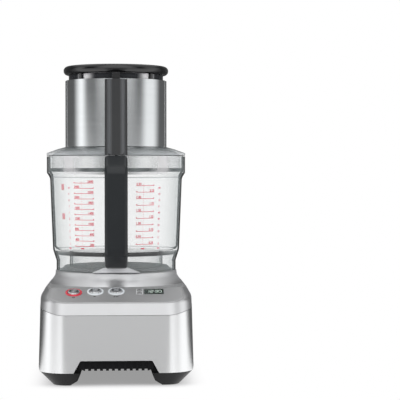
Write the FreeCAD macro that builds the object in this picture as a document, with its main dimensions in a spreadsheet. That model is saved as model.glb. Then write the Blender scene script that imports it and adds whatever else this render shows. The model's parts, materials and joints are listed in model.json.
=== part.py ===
"""Food processor: base with its induction motor, clear bowl, lid, feed chute and pushers.

Millimetres, +Z up. The origin is where the drive axis meets the bench, -Y is the front.
"""
import FreeCAD, Part
import math
import os

import Sketcher
from FreeCAD import Vector

doc = FreeCAD.newDocument("FoodProcessor")
sheet = doc.addObject("Spreadsheet::Sheet", "Sizes")

SIZES = {
    # shared clearances and fastenings
    "running_gap": 0.4,           # between pieces that move past each other
    "seat_gap": 0.1,              # between pieces that are fixed together
    "cut_clear": 10.0,            # how far a cutting tool starts outside a face
    "hole_depth": 30.0,           # openings go this deep, through the cover
    "thread_gap": 0.02,           # between pieces that are pressed or screwed together
    "screw_radius": 2.0,
    "screw_head": 3.8,
    "screw_head_high": 2.4,
    "screw_sink": 2.8,
    "screw_grip": 14.0,
    # plan outline of the base at the seam of its two shells; its sides run in to the front
    "half_wide": 107.6,
    "front": 144.0,
    "back": 118.0,
    "corner": 37.0,
    "back_corner": 70.0,
    "corner_share": 1.3,          # the front corners open out as the shoulder leans back
    "side_angle": 4.0,
    "side_bend": 62.0,
    "side_round": 300.0,
    "front_share": 2.2,           # the shoulder leans back this much more at the front
    "flare_angle": 1.6,           # the lower shell widens downwards
    # the seam is level across the front and rises towards the sides
    "seam_level": 80.0,
    "seam_tilt": 16.5,
    "seam_round": 60.0,
    # heights of the base
    "tray_rim": 20.0,
    "seam": 98.3,
    "seam_gap": 0.5,
    "top_high": 133.2,
    "shell_wall": 2.2,
    "cover_wall": 2.6,
    "dome_lean": 2.5,             # shoulder: a leaning band, an arc, then a straight cone
    "dome_start": 17.0,
    "dome_radius": 14.0,
    "dome_tilt": 38.0,
    "slope_start": 97.0,
    "slope_angle": 20.2,
    "slope_blend": 8.0,
    # collar that carries the bowl
    "collar_high": 151.6,
    "collar_top": 87.6,
    "collar_foot": 88.4,
    "collar_knee": 144.0,         # below it the collar flares out on the cover
    "collar_tilt": 36.5,
    "collar_flare": 10.0,
    "collar_reach": 96.8,
    "panel_back": 28.0,
    "collar_edge": 1.5,
    "collar_bore": 76.0,
    # black tray, its bevel, its tunnel and the feet
    "tray_bevel": 12.0,
    "tray_wall": 3.0,
    "tray_high": 38.0,
    "tunnel_high": 26.0,
    "tunnel_half": 46.0,
    "tunnel_knee": 53.0,
    "tunnel_knee_high": 8.0,
    "tunnel_foot": 66.0,
    "skid_floor": 6.0,
    "foot_radius": 9.0,
    "foot_stand": 1.0,
    "foot_recess": 0.8,
    "foot_x": 76.0,
    "foot_front": 104.0,
    "foot_back": 70.0,
    # arch in the front of the lower shell and the vent behind it
    "arch_high": 36.8,
    "arch_half": 49.0,
    "arch_foot": 58.4,
    "vent_thick": 4.0,
    "vent_low": 22.9,
    "vent_gap": 0.5,              # behind the front wall
    "vent_margin": 2.0,
    "slot_wide": 4.2,
    "slot_pitch": 8.1,
    "slot_count": 11,
    "slot_high": 2.2,
    "rib_groove": 1.2,
    # drive deck under the bowl
    "deck_high": 157.4,
    "deck_top": 75.0,
    "deck_edge": 79.0,
    "deck_wall": 2.5,
    "deck_lip": 4.0,
    "seal_bore": 6.4,
    "seal_radius": 13.0,
    "seal_high": 4.0,
    # control panel: places are measured down the slope from its start
    "panel_thick": 1.6,
    # round buttons and their rings
    "ring_radius": 11.5,
    "ring_bore": 8.9,
    "ring_high": 1.2,
    "ring_edge": 0.45,
    "button_radius": 8.4,
    "button_high": 2.4,
    "button_edge": 0.8,
    "button_travel": 1.5,
    "stem_radius": 2.5,
    "power_x": 58.6,
    "power_down": 17.3,
    "start_x": 29.0,
    "start_down": 14.4,
    # timer keys and display
    "key_x": 32.0,
    "key_wide": 6.4,
    "key_long": 6.0,
    "key_spread": 4.4,
    "key_corner": 2.4,
    "key_high": 1.0,
    "key_travel": 0.8,
    "display_x": 52.0,
    "display_wide": 27.0,
    "display_long": 16.5,
    "display_corner": 1.5,
    "display_thick": 1.2,
    "display_proud": 0.2,
    # circuit board under the slope
    "board_half": 78.0,
    "board_long": 30.0,
    "board_depth": 14.0,
    "board_down": 17.0,
    "board_thick": 1.6,
    "switch_high": 4.0,
    "switch_half": 3.0,
    "standoff_radius": 3.5,
    "standoff_x": 73.0,
    # motor
    "shaft_radius": 6.0,
    "bearing_radius": 15.0,
    "bearing_gap": 0.2,
    "bearing_high": 9.0,
    "bearing_wall": 4.0,
    "floor_high": 29.0,
    "fan_radius": 42.0,
    "fan_hub": 11.0,
    "fan_low": 31.5,
    "fan_high": 8.0,
    "fan_blades": 9,
    "blade_thick": 1.6,
    "bracket_radius": 60.0,
    "bracket_thick": 5.0,
    "bracket_low": 42.5,
    "bracket_top": 112.0,
    "stator_radius": 56.0,
    "stator_bore": 31.5,
    "stator_low": 60.0,
    "stator_high": 40.0,
    "winding_radius": 47.0,
    "winding_bore": 34.0,
    "winding_high": 9.0,
    "air_gap": 0.7,
    "bolt_radius": 2.5,
    "bolt_place": 51.5,
    "mount_radius": 7.0,
    "mount_place": 51.5,
    # capacitor, cord inlet, interlock switch, posts
    "capacitor_radius": 16.5,
    "capacitor_long": 60.0,
    "capacitor_x": 78.4,
    "capacitor_sink": 1.3,        # its side dips into the skid under it
    "capacitor_y": -20.0,
    "inlet_x": 24.0,
    "inlet_high": 58.0,
    "inlet_radius": 9.0,
    "inlet_bore": 4.0,
    "inlet_flange": 13.0,
    "inlet_proud": 3.0,
    "inlet_nut": 4.0,
    "reed_wide": 18.0,
    "reed_thick": 6.0,
    "reed_high": 12.0,
    "post_radius": 5.0,
    "post_inset": 7.7,
    "post_front": 84.0,
    "post_back": 50.0,
    "post_top": 118.0,
    # drive coupling and spindle
    "coupling_radius": 11.4,
    "coupling_top": 174.0,
    "spindle_radius": 10.6,
    "spindle_top": 272.0,
    "spindle_bore": 6.6,
    "spindle_flat": 8.6,
    "flat_below": 19.0,
    # bowl
    "bowl_wall": 2.5,
    "bowl_foot": 152.0,
    "skirt_radius": 86.6,
    "skirt_top": 165.0,
    "bowl_bottom": 181.0,
    "bowl_floor": 3.0,
    "bowl_low_radius": 91.7,
    "bowl_neck_radius": 95.9,
    "bowl_neck": 285.0,
    "rim_low": 292.3,
    "rim_top": 316.0,
    "rim_radius": 100.5,
    "bowl_fillet": 6.0,
    "lock_ring": 67.5,
    "lock_ring_low": 158.3,
    "tube_bore": 12.2,
    "tube_top": 262.0,
    # handle
    "handle_wide": 31.5,
    "handle_top": 316.6,
    "handle_low": 160.0,
    "handle_front": 146.0,
    "handle_root": 118.0,
    "handle_shoulder": 299.0,
    "handle_heel": 182.0,
    "handle_end": 112.0,
    "grip_back": 126.0,
    "web_top": 110.0,
    "web_low": 102.0,
    "finger_top": 296.0,
    "finger_low": 178.0,
    "handle_round": 7.0,
    "foot_low_wide": 66.6,
    "foot_top_wide": 33.6,
    "foot_base": 153.0,
    "foot_out": 92.0,
    # interlock rods
    "rod_radius": 2.0,
    "rod_gap": 0.4,
    "rod_low_y": 96.0,
    "rod_low_z": 168.0,
    "rod_top_y": 107.0,
    "rod_top_z": 316.0,
    "lid_rod_y": 80.5,
    "lid_rod_drop": 1.8,
    "rod_meet": 1.1,
    "rod_mouth": 5.0,
    "rod_mouth_high": 9.0,
    "magnet_long": 6.0,
    # lid and feed chute
    "lid_wall": 2.8,
    "lid_gap": 1.0,
    "lid_edge": 3.8,
    "lid_knee": 85.0,
    "lid_knee_high": 326.4,
    "lid_top": 329.4,
    "lid_skirt": 97.5,
    "seal_low": 293.9,
    "seal_top": 298.9,
    "seal_lip": 95.2,
    "chute_radius": 73.4,
    "chute_bore": 69.2,
    "chute_top": 425.4,
    "chute_low": 319.0,
    "band_thick": 0.6,
    "band_low": 330.0,
    "band_angle": 145.0,
    "spine_wide": 31.5,
    "spine_crown": 24.0,
    "spine_low": 317.2,
    "spine_drop": 1.4,
    "spine_top_out": 89.0,
    "spine_mid_out": 98.0,
    "spine_mid_drop": 50.4,
    "spine_low_out": 116.0,
    "spine_round": 7.0,
    "spine_flange": 80.0,
    # pushers
    "pusher_radius": 68.4,
    "pusher_wall": 2.2,
    "pusher_low": 318.6,
    "pusher_floor": 2.5,
    "cap_radius": 75.9,
    "cap_lift": 8.0,
    "cap_high": 12.6,
    "cap_wall": 3.0,
    "cap_round": 6.0,
    "insert_radius": 25.4,
    "insert_gap": 0.8,
    "insert_wall": 2.2,
    "insert_lip": 1.8,
    "stop_wide": 4.4,
    "stop_out": 73.0,
    "stop_angle": 44.0,
    "tab_wide": 11.0,
    "tab_out": 84.0,
    "tab_drop": 1.0,
}


def fill_sheet():
    """Write every driving dimension into the sheet under its own alias."""
    for row, (alias, number) in enumerate(SIZES.items(), start=1):
        sheet.set("A%d" % row, alias)
        sheet.set("B%d" % row, str(number))
        sheet.setAlias("B%d" % row, alias)
    doc.recompute()


def text_of(value):
    return value.text if isinstance(value, Size) else "(%r)" % float(value)


def number_of(value):
    return value.number if isinstance(value, Size) else float(value)


class Size:
    """A length worked out from the sheet: its number now and its expression."""

    def __init__(self, number, text):
        self.number = number
        self.text = text

    def joined(self, sign, other, number):
        return Size(number, "(%s %s %s)" % (self.text, sign, text_of(other)))

    def __add__(self, other):
        return self.joined("+", other, self.number + number_of(other))

    def __sub__(self, other):
        return self.joined("-", other, self.number - number_of(other))

    def __mul__(self, other):
        return self.joined("*", other, self.number * number_of(other))

    def __truediv__(self, other):
        return self.joined("/", other, self.number / number_of(other))

    def __neg__(self):
        return Size(-self.number, "(0 - %s)" % self.text)

    def __rsub__(self, other):
        return -self + other

    __radd__ = __add__
    __rmul__ = __mul__


NOTHING = Size(0.0, "0")


class Sheet:
    """Reads a size of the sheet as an attribute."""

    def __getattr__(self, alias):
        return Size(float(SIZES[alias]), "Sizes." + alias)


d = Sheet()


def cap_low():
    return d.chute_top + d.cap_lift


def cap_top():
    return cap_low() + d.cap_high


def tab_low():
    return d.chute_top - d.tab_drop


def spine_top():
    return d.chute_top - d.spine_drop


def spine_mid():
    return d.chute_top - d.spine_mid_drop


def lid_rod_high():
    return d.chute_top - d.lid_rod_drop


def post_middle():
    """The posts stand between the tunnel and the side of the base."""
    return (d.half_wide + d.tunnel_foot) * 0.5 - d.post_inset


def root(value):
    return Size(math.sqrt(value.number), "sqrt(%s)" % value.text)


def sine(value):
    return Size(math.sin(math.radians(value.number)), "sin(%s)" % value.text)


def cosine(value):
    return Size(math.cos(math.radians(value.number)), "cos(%s)" % value.text)


def tangent(value):
    return Size(math.tan(math.radians(value.number)), "tan(%s)" % value.text)


def bind(thing, prop, value):
    """Tie one property to its size."""
    thing.setExpression(prop, text_of(value))


def vector_text(x, y, z):
    return "vector(%s; %s; %s)" % (text_of(x), text_of(y), text_of(z))


def place(thing, x=0, y=0, z=0):
    for axis, value in zip("xyz", (x, y, z)):
        bind(thing, "Placement.Base." + axis, value)


# ---- sketches ----

def new_body(label):
    body = doc.addObject("PartDesign::Body", label)
    body.Label = label
    return body


def new_sketch(body, role, offset=0, turn=None):
    """A sketch on one of the body's own origin planes, moved along its normal."""
    sketch = body.newObject("Sketcher::SketchObject", body.Label + "_outline")
    plane = [p for p in body.Origin.OriginFeatures if p.Role == role][0]
    sketch.AttachmentSupport = [(plane, "")]
    sketch.MapMode = "FlatFace"
    if turn is not None:
        sketch.setExpression("AttachmentOffset", turn)
    elif isinstance(offset, Size):
        bind(sketch, "AttachmentOffset.Base.z", offset)
    return sketch


def fix_point(sketch, item, end, x, y):
    """Hold a point at x, y from the sketch's origin."""
    for kind, value, axis in (("DistanceX", x, -2), ("DistanceY", y, -1)):
        if not isinstance(value, Size) and value == 0:
            sketch.addConstraint(Sketcher.Constraint("PointOnObject", item, end, axis))
            continue
        made = Sketcher.Constraint(kind, -1, 1, item, end, number_of(value))
        index = sketch.addConstraint(made)
        if isinstance(value, Size):
            sketch.setExpression("Constraints[%d]" % index, value.text)


def fix_radius(sketch, item, value):
    index = sketch.addConstraint(Sketcher.Constraint("Radius", item, number_of(value)))
    bind(sketch, "Constraints[%d]" % index, value)


def add_loop(sketch, corners):
    """A closed outline through the corners; a third value rounds its corner."""
    spots = [Vector(number_of(c[0]), number_of(c[1]), 0) for c in corners]
    count = len(spots)
    starts = []
    ends = []
    arcs = []
    for i, spot in enumerate(spots):
        into = (spot - spots[i - 1]).normalize()
        away = (spots[(i + 1) % count] - spot).normalize()
        radius = number_of(corners[i][2]) if len(corners[i]) > 2 else 0
        turn = math.atan2(into.x * away.y - into.y * away.x, into.dot(away))
        reach = radius * math.tan(abs(turn) / 2)
        ends.append(spot - into * reach)
        starts.append(spot + away * reach)
        side = math.copysign(1, turn)
        centre = ends[i] + Vector(-into.y, into.x, 0) * radius * side
        arcs.append((radius, side, centre))
    lines = []
    for i in range(count):
        line = Part.LineSegment(starts[i], ends[(i + 1) % count])
        lines.append(sketch.addGeometry(line))
    for i, (radius, side, centre) in enumerate(arcs):
        before = lines[i - 1]
        after = lines[i]
        if not radius:
            sketch.addConstraint(Sketcher.Constraint("Coincident", before, 2, after, 1))
            fix_point(sketch, after, 1, corners[i][0], corners[i][1])
            continue
        first, last = (ends[i], starts[i]) if side > 0 else (starts[i], ends[i])
        angles = [math.atan2(p.y - centre.y, p.x - centre.x) for p in (first, last)]
        circle = Part.Circle(centre, Vector(0, 0, 1), radius)
        arc = sketch.addGeometry(Part.ArcOfCircle(circle, angles[0], angles[1]))
        point = sketch.addGeometry(Part.Point(spots[i]), True)
        fix_point(sketch, point, 1, corners[i][0], corners[i][1])
        sketch.addConstraint(Sketcher.Constraint("PointOnObject", point, 1, before))
        sketch.addConstraint(Sketcher.Constraint("PointOnObject", point, 1, after))
        meet_in, meet_out = (1, 2) if side > 0 else (2, 1)
        sketch.addConstraint(Sketcher.Constraint("Tangent", before, 2, arc, meet_in))
        sketch.addConstraint(Sketcher.Constraint("Tangent", after, 1, arc, meet_out))
        fix_radius(sketch, arc, corners[i][2])
    return sketch


def add_circles(sketch, circles):
    for x, y, radius in circles:
        centre = Vector(number_of(x), number_of(y), 0)
        shape = Part.Circle(centre, Vector(0, 0, 1), number_of(radius))
        item = sketch.addGeometry(shape)
        fix_point(sketch, item, 3, x, y)
        fix_radius(sketch, item, radius)
    return sketch


def box_corners(x, y, wide, long, rounding=None):
    """Corners of a rectangle centred on x, y."""
    spots = ((-1, -1), (1, -1), (1, 1), (-1, 1))
    corners = [(x + wide * (i * 0.5), y + long * (j * 0.5)) for i, j in spots]
    return [c + (rounding,) for c in corners] if rounding is not None else corners


# ---- features ----

def pad(body, sketch, length, taper=None, flip=False, middle=False):
    feature = body.newObject("PartDesign::Pad", body.Label + "_pad")
    feature.Profile = sketch
    bind(feature, "Length", length)
    feature.Reversed = flip
    feature.Midplane = middle
    if taper is not None:
        bind(feature, "TaperAngle", taper)
    return feature


def pocket(body, sketch, length=None, flip=False, middle=False, taper=None):
    """Cut along the sketch's normal when flip is set, against it otherwise."""
    feature = body.newObject("PartDesign::Pocket", body.Label + "_cut")
    feature.Profile = sketch
    if length is None:
        feature.Type = "ThroughAll"
    else:
        bind(feature, "Length", length)
    feature.Reversed = flip
    feature.Midplane = middle
    if taper is not None:
        bind(feature, "TaperAngle", taper)
    return feature


def loft(body, outlines, kind="Additive"):
    """A skin through the outlines, added to the body or taken out of it."""
    made = body.newObject("PartDesign::%sLoft" % kind, body.Label + "_skin")
    made.Profile = outlines[0]
    made.Sections = outlines[1:]
    return made


def revolve(body, sketch, angle=None, kind="Revolution"):
    feature = body.newObject("PartDesign::" + kind, body.Label + "_turn")
    feature.Profile = sketch
    feature.ReferenceAxis = (sketch, ["V_Axis"])
    if angle is None:
        feature.Angle = 360
    else:
        bind(feature, "Angle", angle)
        feature.Midplane = True
    return feature


def turned(label, corners, angle=None):
    """A piece turned about the drive axis from its half section of radius and height."""
    body = new_body(label)
    role = "XZ_Plane" if angle is None else "YZ_Plane"
    revolve(body, add_loop(new_sketch(body, role), corners), angle)
    return body


def edges_where(feature, test):
    """Names of the feature's edges whose middle passes the test."""
    doc.recompute()
    names = []
    for index, edge in enumerate(feature.Shape.Edges, start=1):
        middle = edge.valueAt((edge.FirstParameter + edge.LastParameter) / 2)
        if test(middle, edge):
            names.append("Edge%d" % index)
    return names


def dress(body, kind, feature, names, amount):
    """A fillet or chamfer on the named edges."""
    made = body.newObject("PartDesign::" + kind, body.Label + "_edge")
    made.Base = (feature, names)
    bind(made, "Radius" if kind == "Fillet" else "Size", amount)
    return made


def cut(label, base, tool):
    made = doc.addObject("Part::Cut", label)
    made.Base = base
    made.Tool = tool
    made.Label = label
    return made


def cylinder(label, radius, high):
    made = doc.addObject("Part::Cylinder", label)
    made.Label = label
    bind(made, "Radius", radius)
    bind(made, "Height", high)
    return made


pieces = []


def keep(piece):
    """Hand a finished piece over for export."""
    pieces.append(piece)
    return piece


# ---- base: shells, tray and feet ----

def seam_line(rise):
    """Front view of the seam between the two shells, raised by a gap."""
    far = d.half_wide * 2
    climb = (far - d.seam_level) * tangent(d.seam_tilt)
    level = d.seam + rise
    return [(-far, level + climb), (-d.seam_level, level, d.seam_round),
            (d.seam_level, level, d.seam_round), (far, level + climb)]


def trim_seam(body, rise, beyond):
    """Cut away what lies on the far side of the seam."""
    far = d.half_wide * 2
    sketch = new_sketch(body, "XZ_Plane")
    add_loop(sketch, seam_line(rise) + [(far, beyond), (-far, beyond)])
    pocket(body, sketch, middle=True)


def foot_reach():
    """How much wider the lower shell is at its foot than at the seam."""
    return (d.seam - d.tray_rim) * tangent(d.flare_angle)


def base_outline(body, height, inset, lean=NOTHING):
    """Plan outline of the base, set in by a wall; a lean sets its front back further."""
    angle = d.side_angle
    sketch = new_sketch(body, "XY_Plane", height)
    wide = d.half_wide - inset
    near = d.front - inset - lean
    far = d.back - inset
    knee = d.side_bend - inset * tangent(angle * 0.5)
    nose = d.half_wide - inset / cosine(angle) - (near - d.side_bend) * tangent(angle)
    corner = d.corner - inset + lean * d.corner_share
    bulge = d.side_round - inset
    rear = d.back_corner - inset
    return add_loop(sketch, [(-nose, -near, corner), (nose, -near, corner),
                             (wide, -knee, bulge), (wide, far, rear),
                             (-wide, far, rear), (-wide, -knee, bulge)])


def make_base_shell():
    """Brushed lower shell, open at the bottom, with the arch cut in its front."""
    body = new_body("base_shell")
    high = d.seam + d.dome_start
    narrowed = d.dome_start * tangent(d.flare_angle)
    for kind, wall in (("Additive", NOTHING), ("Subtractive", d.shell_wall)):
        loft(body, [base_outline(body, high, wall + narrowed),
                    base_outline(body, d.tray_rim, wall - foot_reach())], kind)
    trim_seam(body, NOTHING, d.seam * 2)
    arch = new_sketch(body, "XZ_Plane", d.front * 0.5)
    low = d.tray_rim - 1
    slant = (d.arch_foot - d.arch_half) / (d.arch_high - d.tray_rim)
    foot = d.arch_foot + slant
    add_loop(arch, [(-foot, low), (foot, low), (d.arch_half, d.arch_high, d.shell_wall),
                    (-d.arch_half, d.arch_high, d.shell_wall)])
    pocket(body, arch, d.front, flip=True)
    inlet = new_sketch(body, "XZ_Plane", -d.back * 0.5)
    add_circles(inlet, [(d.inlet_x, d.inlet_high, d.inlet_radius + d.seat_gap)])
    pocket(body, inlet, d.back)
    return keep(body)


def make_base_tray():
    """Black tray: bevelled skirt, raised ledge inside the shell, tunnel between two skids."""
    body = new_body("base_tray")
    rim = base_outline(body, d.tray_rim, -foot_reach())
    pad(body, rim, d.tray_bevel, taper=-45, flip=True)
    foot = base_outline(body, d.tray_rim - d.tray_bevel, d.tray_bevel - foot_reach())
    pad(body, foot, d.tray_rim - d.tray_bevel - d.foot_stand, taper=-45, flip=True)
    inside = d.shell_wall + d.seat_gap
    loft(body, [base_outline(body, d.tray_rim, inside - foot_reach()),
                base_outline(body, d.seam, inside)])
    above = new_sketch(body, "XY_Plane", d.seam + d.cut_clear)
    add_loop(above, box_corners(0, 0, d.half_wide * 3, d.front * 3))
    pocket(body, above, d.seam + d.cut_clear - d.tray_high)
    tunnel = new_sketch(body, "XZ_Plane")
    low = -1
    add_loop(tunnel, [(-d.tunnel_foot, low), (-d.tunnel_knee, d.tunnel_knee_high, 4),
                      (-d.tunnel_half, d.tunnel_high, 2), (d.tunnel_half, d.tunnel_high, 2),
                      (d.tunnel_knee, d.tunnel_knee_high, 4), (d.tunnel_foot, low)])
    pocket(body, tunnel, middle=True)
    recess = new_sketch(body, "XZ_Plane", d.front - d.shell_wall - d.vent_thick - d.vent_gap)
    top = d.tray_high + d.cut_clear
    wide = d.arch_foot + d.vent_margin
    add_loop(recess, [(-wide, d.tray_rim), (wide, d.tray_rim), (wide, top), (-wide, top)])
    pocket(body, recess, d.front * 0.5, flip=True)
    hollow = base_outline(body, d.tray_high, inside + d.tray_wall + d.vent_thick)
    pocket(body, hollow, d.tray_high - d.floor_high)
    skid = new_sketch(body, "XY_Plane", d.floor_high)
    inner = d.tunnel_foot + d.tray_wall
    outer = d.half_wide - d.tray_bevel - d.tray_wall * 2 - d.foot_radius * 0.5
    for side in (-1, 1):
        middle = (inner + outer) * (side * 0.5)
        long = d.foot_front + d.foot_back - d.corner * 0.5
        add_loop(skid, box_corners(middle, (d.foot_back - d.foot_front) * 0.5,
                                   outer - inner, long, d.tray_wall))
    pocket(body, skid, d.floor_high - d.skid_floor)
    for x, y in foot_spots():
        seat = new_sketch(body, "XY_Plane")
        add_circles(seat, [(x, y, d.foot_radius + d.seat_gap)])
        pocket(body, seat, d.foot_stand + d.foot_recess, flip=True)
    holes = new_sketch(body, "XY_Plane", d.floor_high)
    add_circles(holes, [(x, y, d.screw_radius + d.seat_gap) for x, y in post_spots()])
    pocket(body, holes)
    sink = new_sketch(body, "XY_Plane")
    add_circles(sink, [(x, y, d.screw_head + d.seat_gap) for x, y in post_spots()])
    pocket(body, sink, screw_seat(), flip=True)
    return keep(body)


def screw_seat():
    """Height at which the heads of the base screws bear on the tray."""
    return d.foot_stand + d.screw_sink


def foot_spots():
    return [(d.foot_x * side, y) for side in (-1, 1) for y in (-d.foot_front, d.foot_back)]


def post_spots():
    return [(post_middle() * side, y) for side in (-1, 1) for y in (-d.post_front, d.post_back)]


def make_rubber_feet():
    body = new_body("rubber_feet")
    sketch = new_sketch(body, "XY_Plane")
    add_circles(sketch, [(x, y, d.foot_radius) for x, y in foot_spots()])
    pad(body, sketch, d.foot_stand + d.foot_recess - d.seat_gap)
    return keep(body)


def make_front_vent():
    """Comb-edged grille that lines the arch."""
    body = new_body("front_vent")
    face = d.front - d.shell_wall - d.vent_gap
    sketch = new_sketch(body, "XZ_Plane", face - d.vent_thick)
    half = d.arch_half + d.shell_wall
    top = d.tray_high - d.seat_gap
    tip = d.tunnel_half - d.shell_wall
    add_loop(sketch, [(-half, d.tunnel_high), (-tip, d.vent_low), (tip, d.vent_low),
                      (half, d.tunnel_high), (half, top), (-half, top)])
    pad(body, sketch, d.vent_thick)
    first = -d.slot_pitch * ((SIZES["slot_count"] - 1) * 0.5)
    slot = new_sketch(body, "XZ_Plane", face)
    add_loop(slot, box_corners(first, d.vent_low, d.slot_wide, d.slot_high * 2, 0.6))
    notch = pocket(body, slot)
    groove = new_sketch(body, "XZ_Plane", face)
    add_loop(groove, box_corners(first, (d.vent_low + d.tray_high) * 0.5, d.slot_wide,
                                 d.tray_high - d.vent_low - 4))
    carved = pocket(body, groove, d.rib_groove)
    doc.recompute()
    row = body.newObject("PartDesign::LinearPattern", "vent_row")
    row.Originals = [notch, carved]
    row.Direction = (slot, ["H_Axis"])
    row.Mode = "Spacing"
    bind(row, "Offset", d.slot_pitch)
    bind(row, "Occurrences", d.slot_count)
    body.Tip = row
    return keep(body)


# ---- base: top cover with its slope, collar and panel seat ----

def dome_steps(inset):
    """Rise and setback of the shoulder's section: a leaning band, an arc and a straight cone."""
    lean = d.dome_lean
    tilt = d.dome_tilt
    radius = d.dome_radius
    arc_rise = radius * (sine(tilt) - sine(lean))
    arc_back = radius * (cosine(lean) - cosine(tilt))
    start = (d.dome_start - inset * sine(lean),
             d.dome_start * tangent(lean) + inset * cosine(lean))
    end = (d.dome_start + arc_rise - inset * sine(tilt),
           d.dome_start * tangent(lean) + arc_back + inset * cosine(tilt))
    return start, end


def dome_sections(low, top, inset):
    """Heights and insets of the plan outlines that the shoulder is lofted through."""
    start, end = dome_steps(inset)
    inner = d.dome_radius - inset
    sections = [(low, start[1] - (start[0] + d.seam - low) * tangent(d.dome_lean)),
                (d.seam + start[0], start[1])]
    for share in (1 / 3, 2 / 3):
        turn = d.dome_lean + (d.dome_tilt - d.dome_lean) * share
        sections.append((d.seam + start[0] + inner * (sine(turn) - sine(d.dome_lean)),
                         start[1] + inner * (cosine(d.dome_lean) - cosine(turn))))
    sections.append((d.seam + end[0], end[1]))
    sections.append((top, end[1] + (top - d.seam - end[0]) * tangent(d.dome_tilt)))
    return sections


def cover_top(sunk, far):
    """Side view of the cover's top from the front backwards: slope, then level."""
    start = d.slope_start - sunk * tangent(d.slope_angle * 0.5)
    top = d.top_high - sunk
    drop = (far - start) * tangent(d.slope_angle)
    return [(-far, top - drop), (-start, top, d.slope_blend), (far, top)]


def cover_block(label, low, inset, sunk):
    """The top cover's outer form, set in by a wall, its top sunk below the panel's face."""
    body = new_body(label)
    top = d.top_high + 1
    outlines = [base_outline(body, height, setback, (setback - inset) * (d.front_share - 1))
                for height, setback in dome_sections(low, top, inset)]
    for rings in (outlines[:2], outlines[1:-1], outlines[-2:]):
        loft(body, rings)
    side = new_sketch(body, "YZ_Plane")
    far = d.front + d.corner
    above = top + d.slope_blend
    add_loop(side, cover_top(sunk, far) + [(far, above), (-far, above)])
    pocket(body, side, middle=True)
    return body


def panel_frame():
    """Frame on the slope: X to the right, Y up the slope, Z out of it."""
    spot = vector_text(0, -d.slope_start, d.top_high)
    return "placement(%s; rotationx(%s))" % (spot, text_of(d.slope_angle))


def panel_offset(out):
    """The same frame, moved out along its normal."""
    y = -d.slope_start - sine(d.slope_angle) * out
    z = d.top_high + cosine(d.slope_angle) * out
    return "placement(%s; rotationx(%s))" % (vector_text(0, y, z), text_of(d.slope_angle))


def button_spots():
    """Centres of the three round buttons, in the panel's frame."""
    return {"power": (-d.power_x, -d.power_down), "start": (-d.start_x, -d.start_down),
            "pulse": (0, -d.start_down)}


def key_spots():
    middle = -d.start_down
    return {"up": (d.key_x, middle + d.key_spread), "down": (d.key_x, middle - d.key_spread)}


def display_spot():
    return d.display_x, -d.start_down


def panel_holes(body, turn, depth):
    """Openings for the buttons, the timer keys and the display."""
    gap = d.running_gap
    circles = [(x, y, d.button_radius + gap) for x, y in button_spots().values()]
    pocket(body, add_circles(new_sketch(body, "XY_Plane", turn=turn), circles), depth)
    for x, y in key_spots().values():
        sketch = new_sketch(body, "XY_Plane", turn=turn)
        corners = box_corners(x, y, d.key_wide + gap * 2, d.key_long + gap * 2, d.key_corner)
        pocket(body, add_loop(sketch, corners), depth)
    x, y = display_spot()
    sketch = new_sketch(body, "XY_Plane", turn=turn)
    gap = d.seat_gap * 2
    corners = box_corners(x, y, d.display_wide + gap, d.display_long + gap, d.display_corner)
    pocket(body, add_loop(sketch, corners), depth)


def panel_zone(label, thick, reach):
    """The layer of the cover's top that the panel fills: in front, outside the collar."""
    body = new_body(label)
    far = d.front + d.corner
    side = new_sketch(body, "YZ_Plane")
    lower = cover_top(thick, far)[:2]
    upper = [(-far, d.top_high * 2), (-d.panel_back, d.top_high * 2)]
    add_loop(side, [lower[0], lower[1], (-d.panel_back, d.top_high - thick)] + upper[::-1])
    pad(body, side, d.half_wide * 3, middle=True)
    pocket(body, add_circles(new_sketch(body, "XY_Plane"), [(0, 0, reach)]), flip=True)
    return body


def hollow_collar(body, deep, foot):
    """Room inside the collar, between its flare and the wall of its bore."""
    wall = d.cover_wall
    inside = d.collar_bore + wall
    top = d.collar_high - wall
    room = new_sketch(body, "XZ_Plane")
    add_loop(room, [(inside, deep), (foot - wall / cosine(d.collar_tilt), deep),
                    (d.collar_foot - wall, d.collar_knee - wall * tangent(d.collar_tilt * 0.5)),
                    (d.collar_foot - wall, top), (inside, top)])
    revolve(body, room)


def make_top_shell():
    """Domed top cover with the flared collar, the panel's seat and its openings."""
    low = d.seam + d.seam_gap
    body = cover_block("top_shell_outside", low, NOTHING, NOTHING)
    trim_seam(body, d.seam_gap, NOTHING)
    collar = new_sketch(body, "XZ_Plane")
    deep = d.seam + d.dome_start + d.dome_radius * 0.5
    foot = d.collar_foot + (d.collar_knee - deep) * tangent(d.collar_tilt)
    inside = d.collar_bore - d.cover_wall
    add_loop(collar, [(inside, deep), (foot, deep), (d.collar_foot, d.collar_knee, d.collar_flare),
                      (d.collar_top, d.collar_high, d.collar_edge), (inside, d.collar_high)])
    revolve(body, collar)
    bore = add_circles(new_sketch(body, "XY_Plane", d.collar_high + 1), [(0, 0, d.collar_bore)])
    pocket(body, bore)
    panel_holes(body, panel_offset(d.cut_clear), d.hole_depth)
    inner = cover_block("top_shell_inside", low - 1, d.cover_wall,
                        d.panel_thick + d.cover_wall)
    hollow_collar(inner, deep, foot)
    hollow = cut("top_shell_hollow", body, inner)
    zone = panel_zone("panel_seat", d.panel_thick, d.collar_reach)
    shell = cut("top_shell", hollow, zone)
    shell.Refine = True
    return keep(shell)


def make_control_panel():
    """Grey panel: a crescent on the slope that runs round the front of the collar."""
    low = d.seam + d.seam_gap
    body = cover_block("panel_block", low, NOTHING, NOTHING)
    panel_holes(body, panel_offset(d.cut_clear), d.hole_depth)
    zone = panel_zone("panel_layer", d.panel_thick - d.seat_gap, d.collar_reach + d.seat_gap)
    panel = doc.addObject("Part::Common", "control_panel")
    panel.Base = body
    panel.Tool = zone
    return keep(panel)


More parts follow.
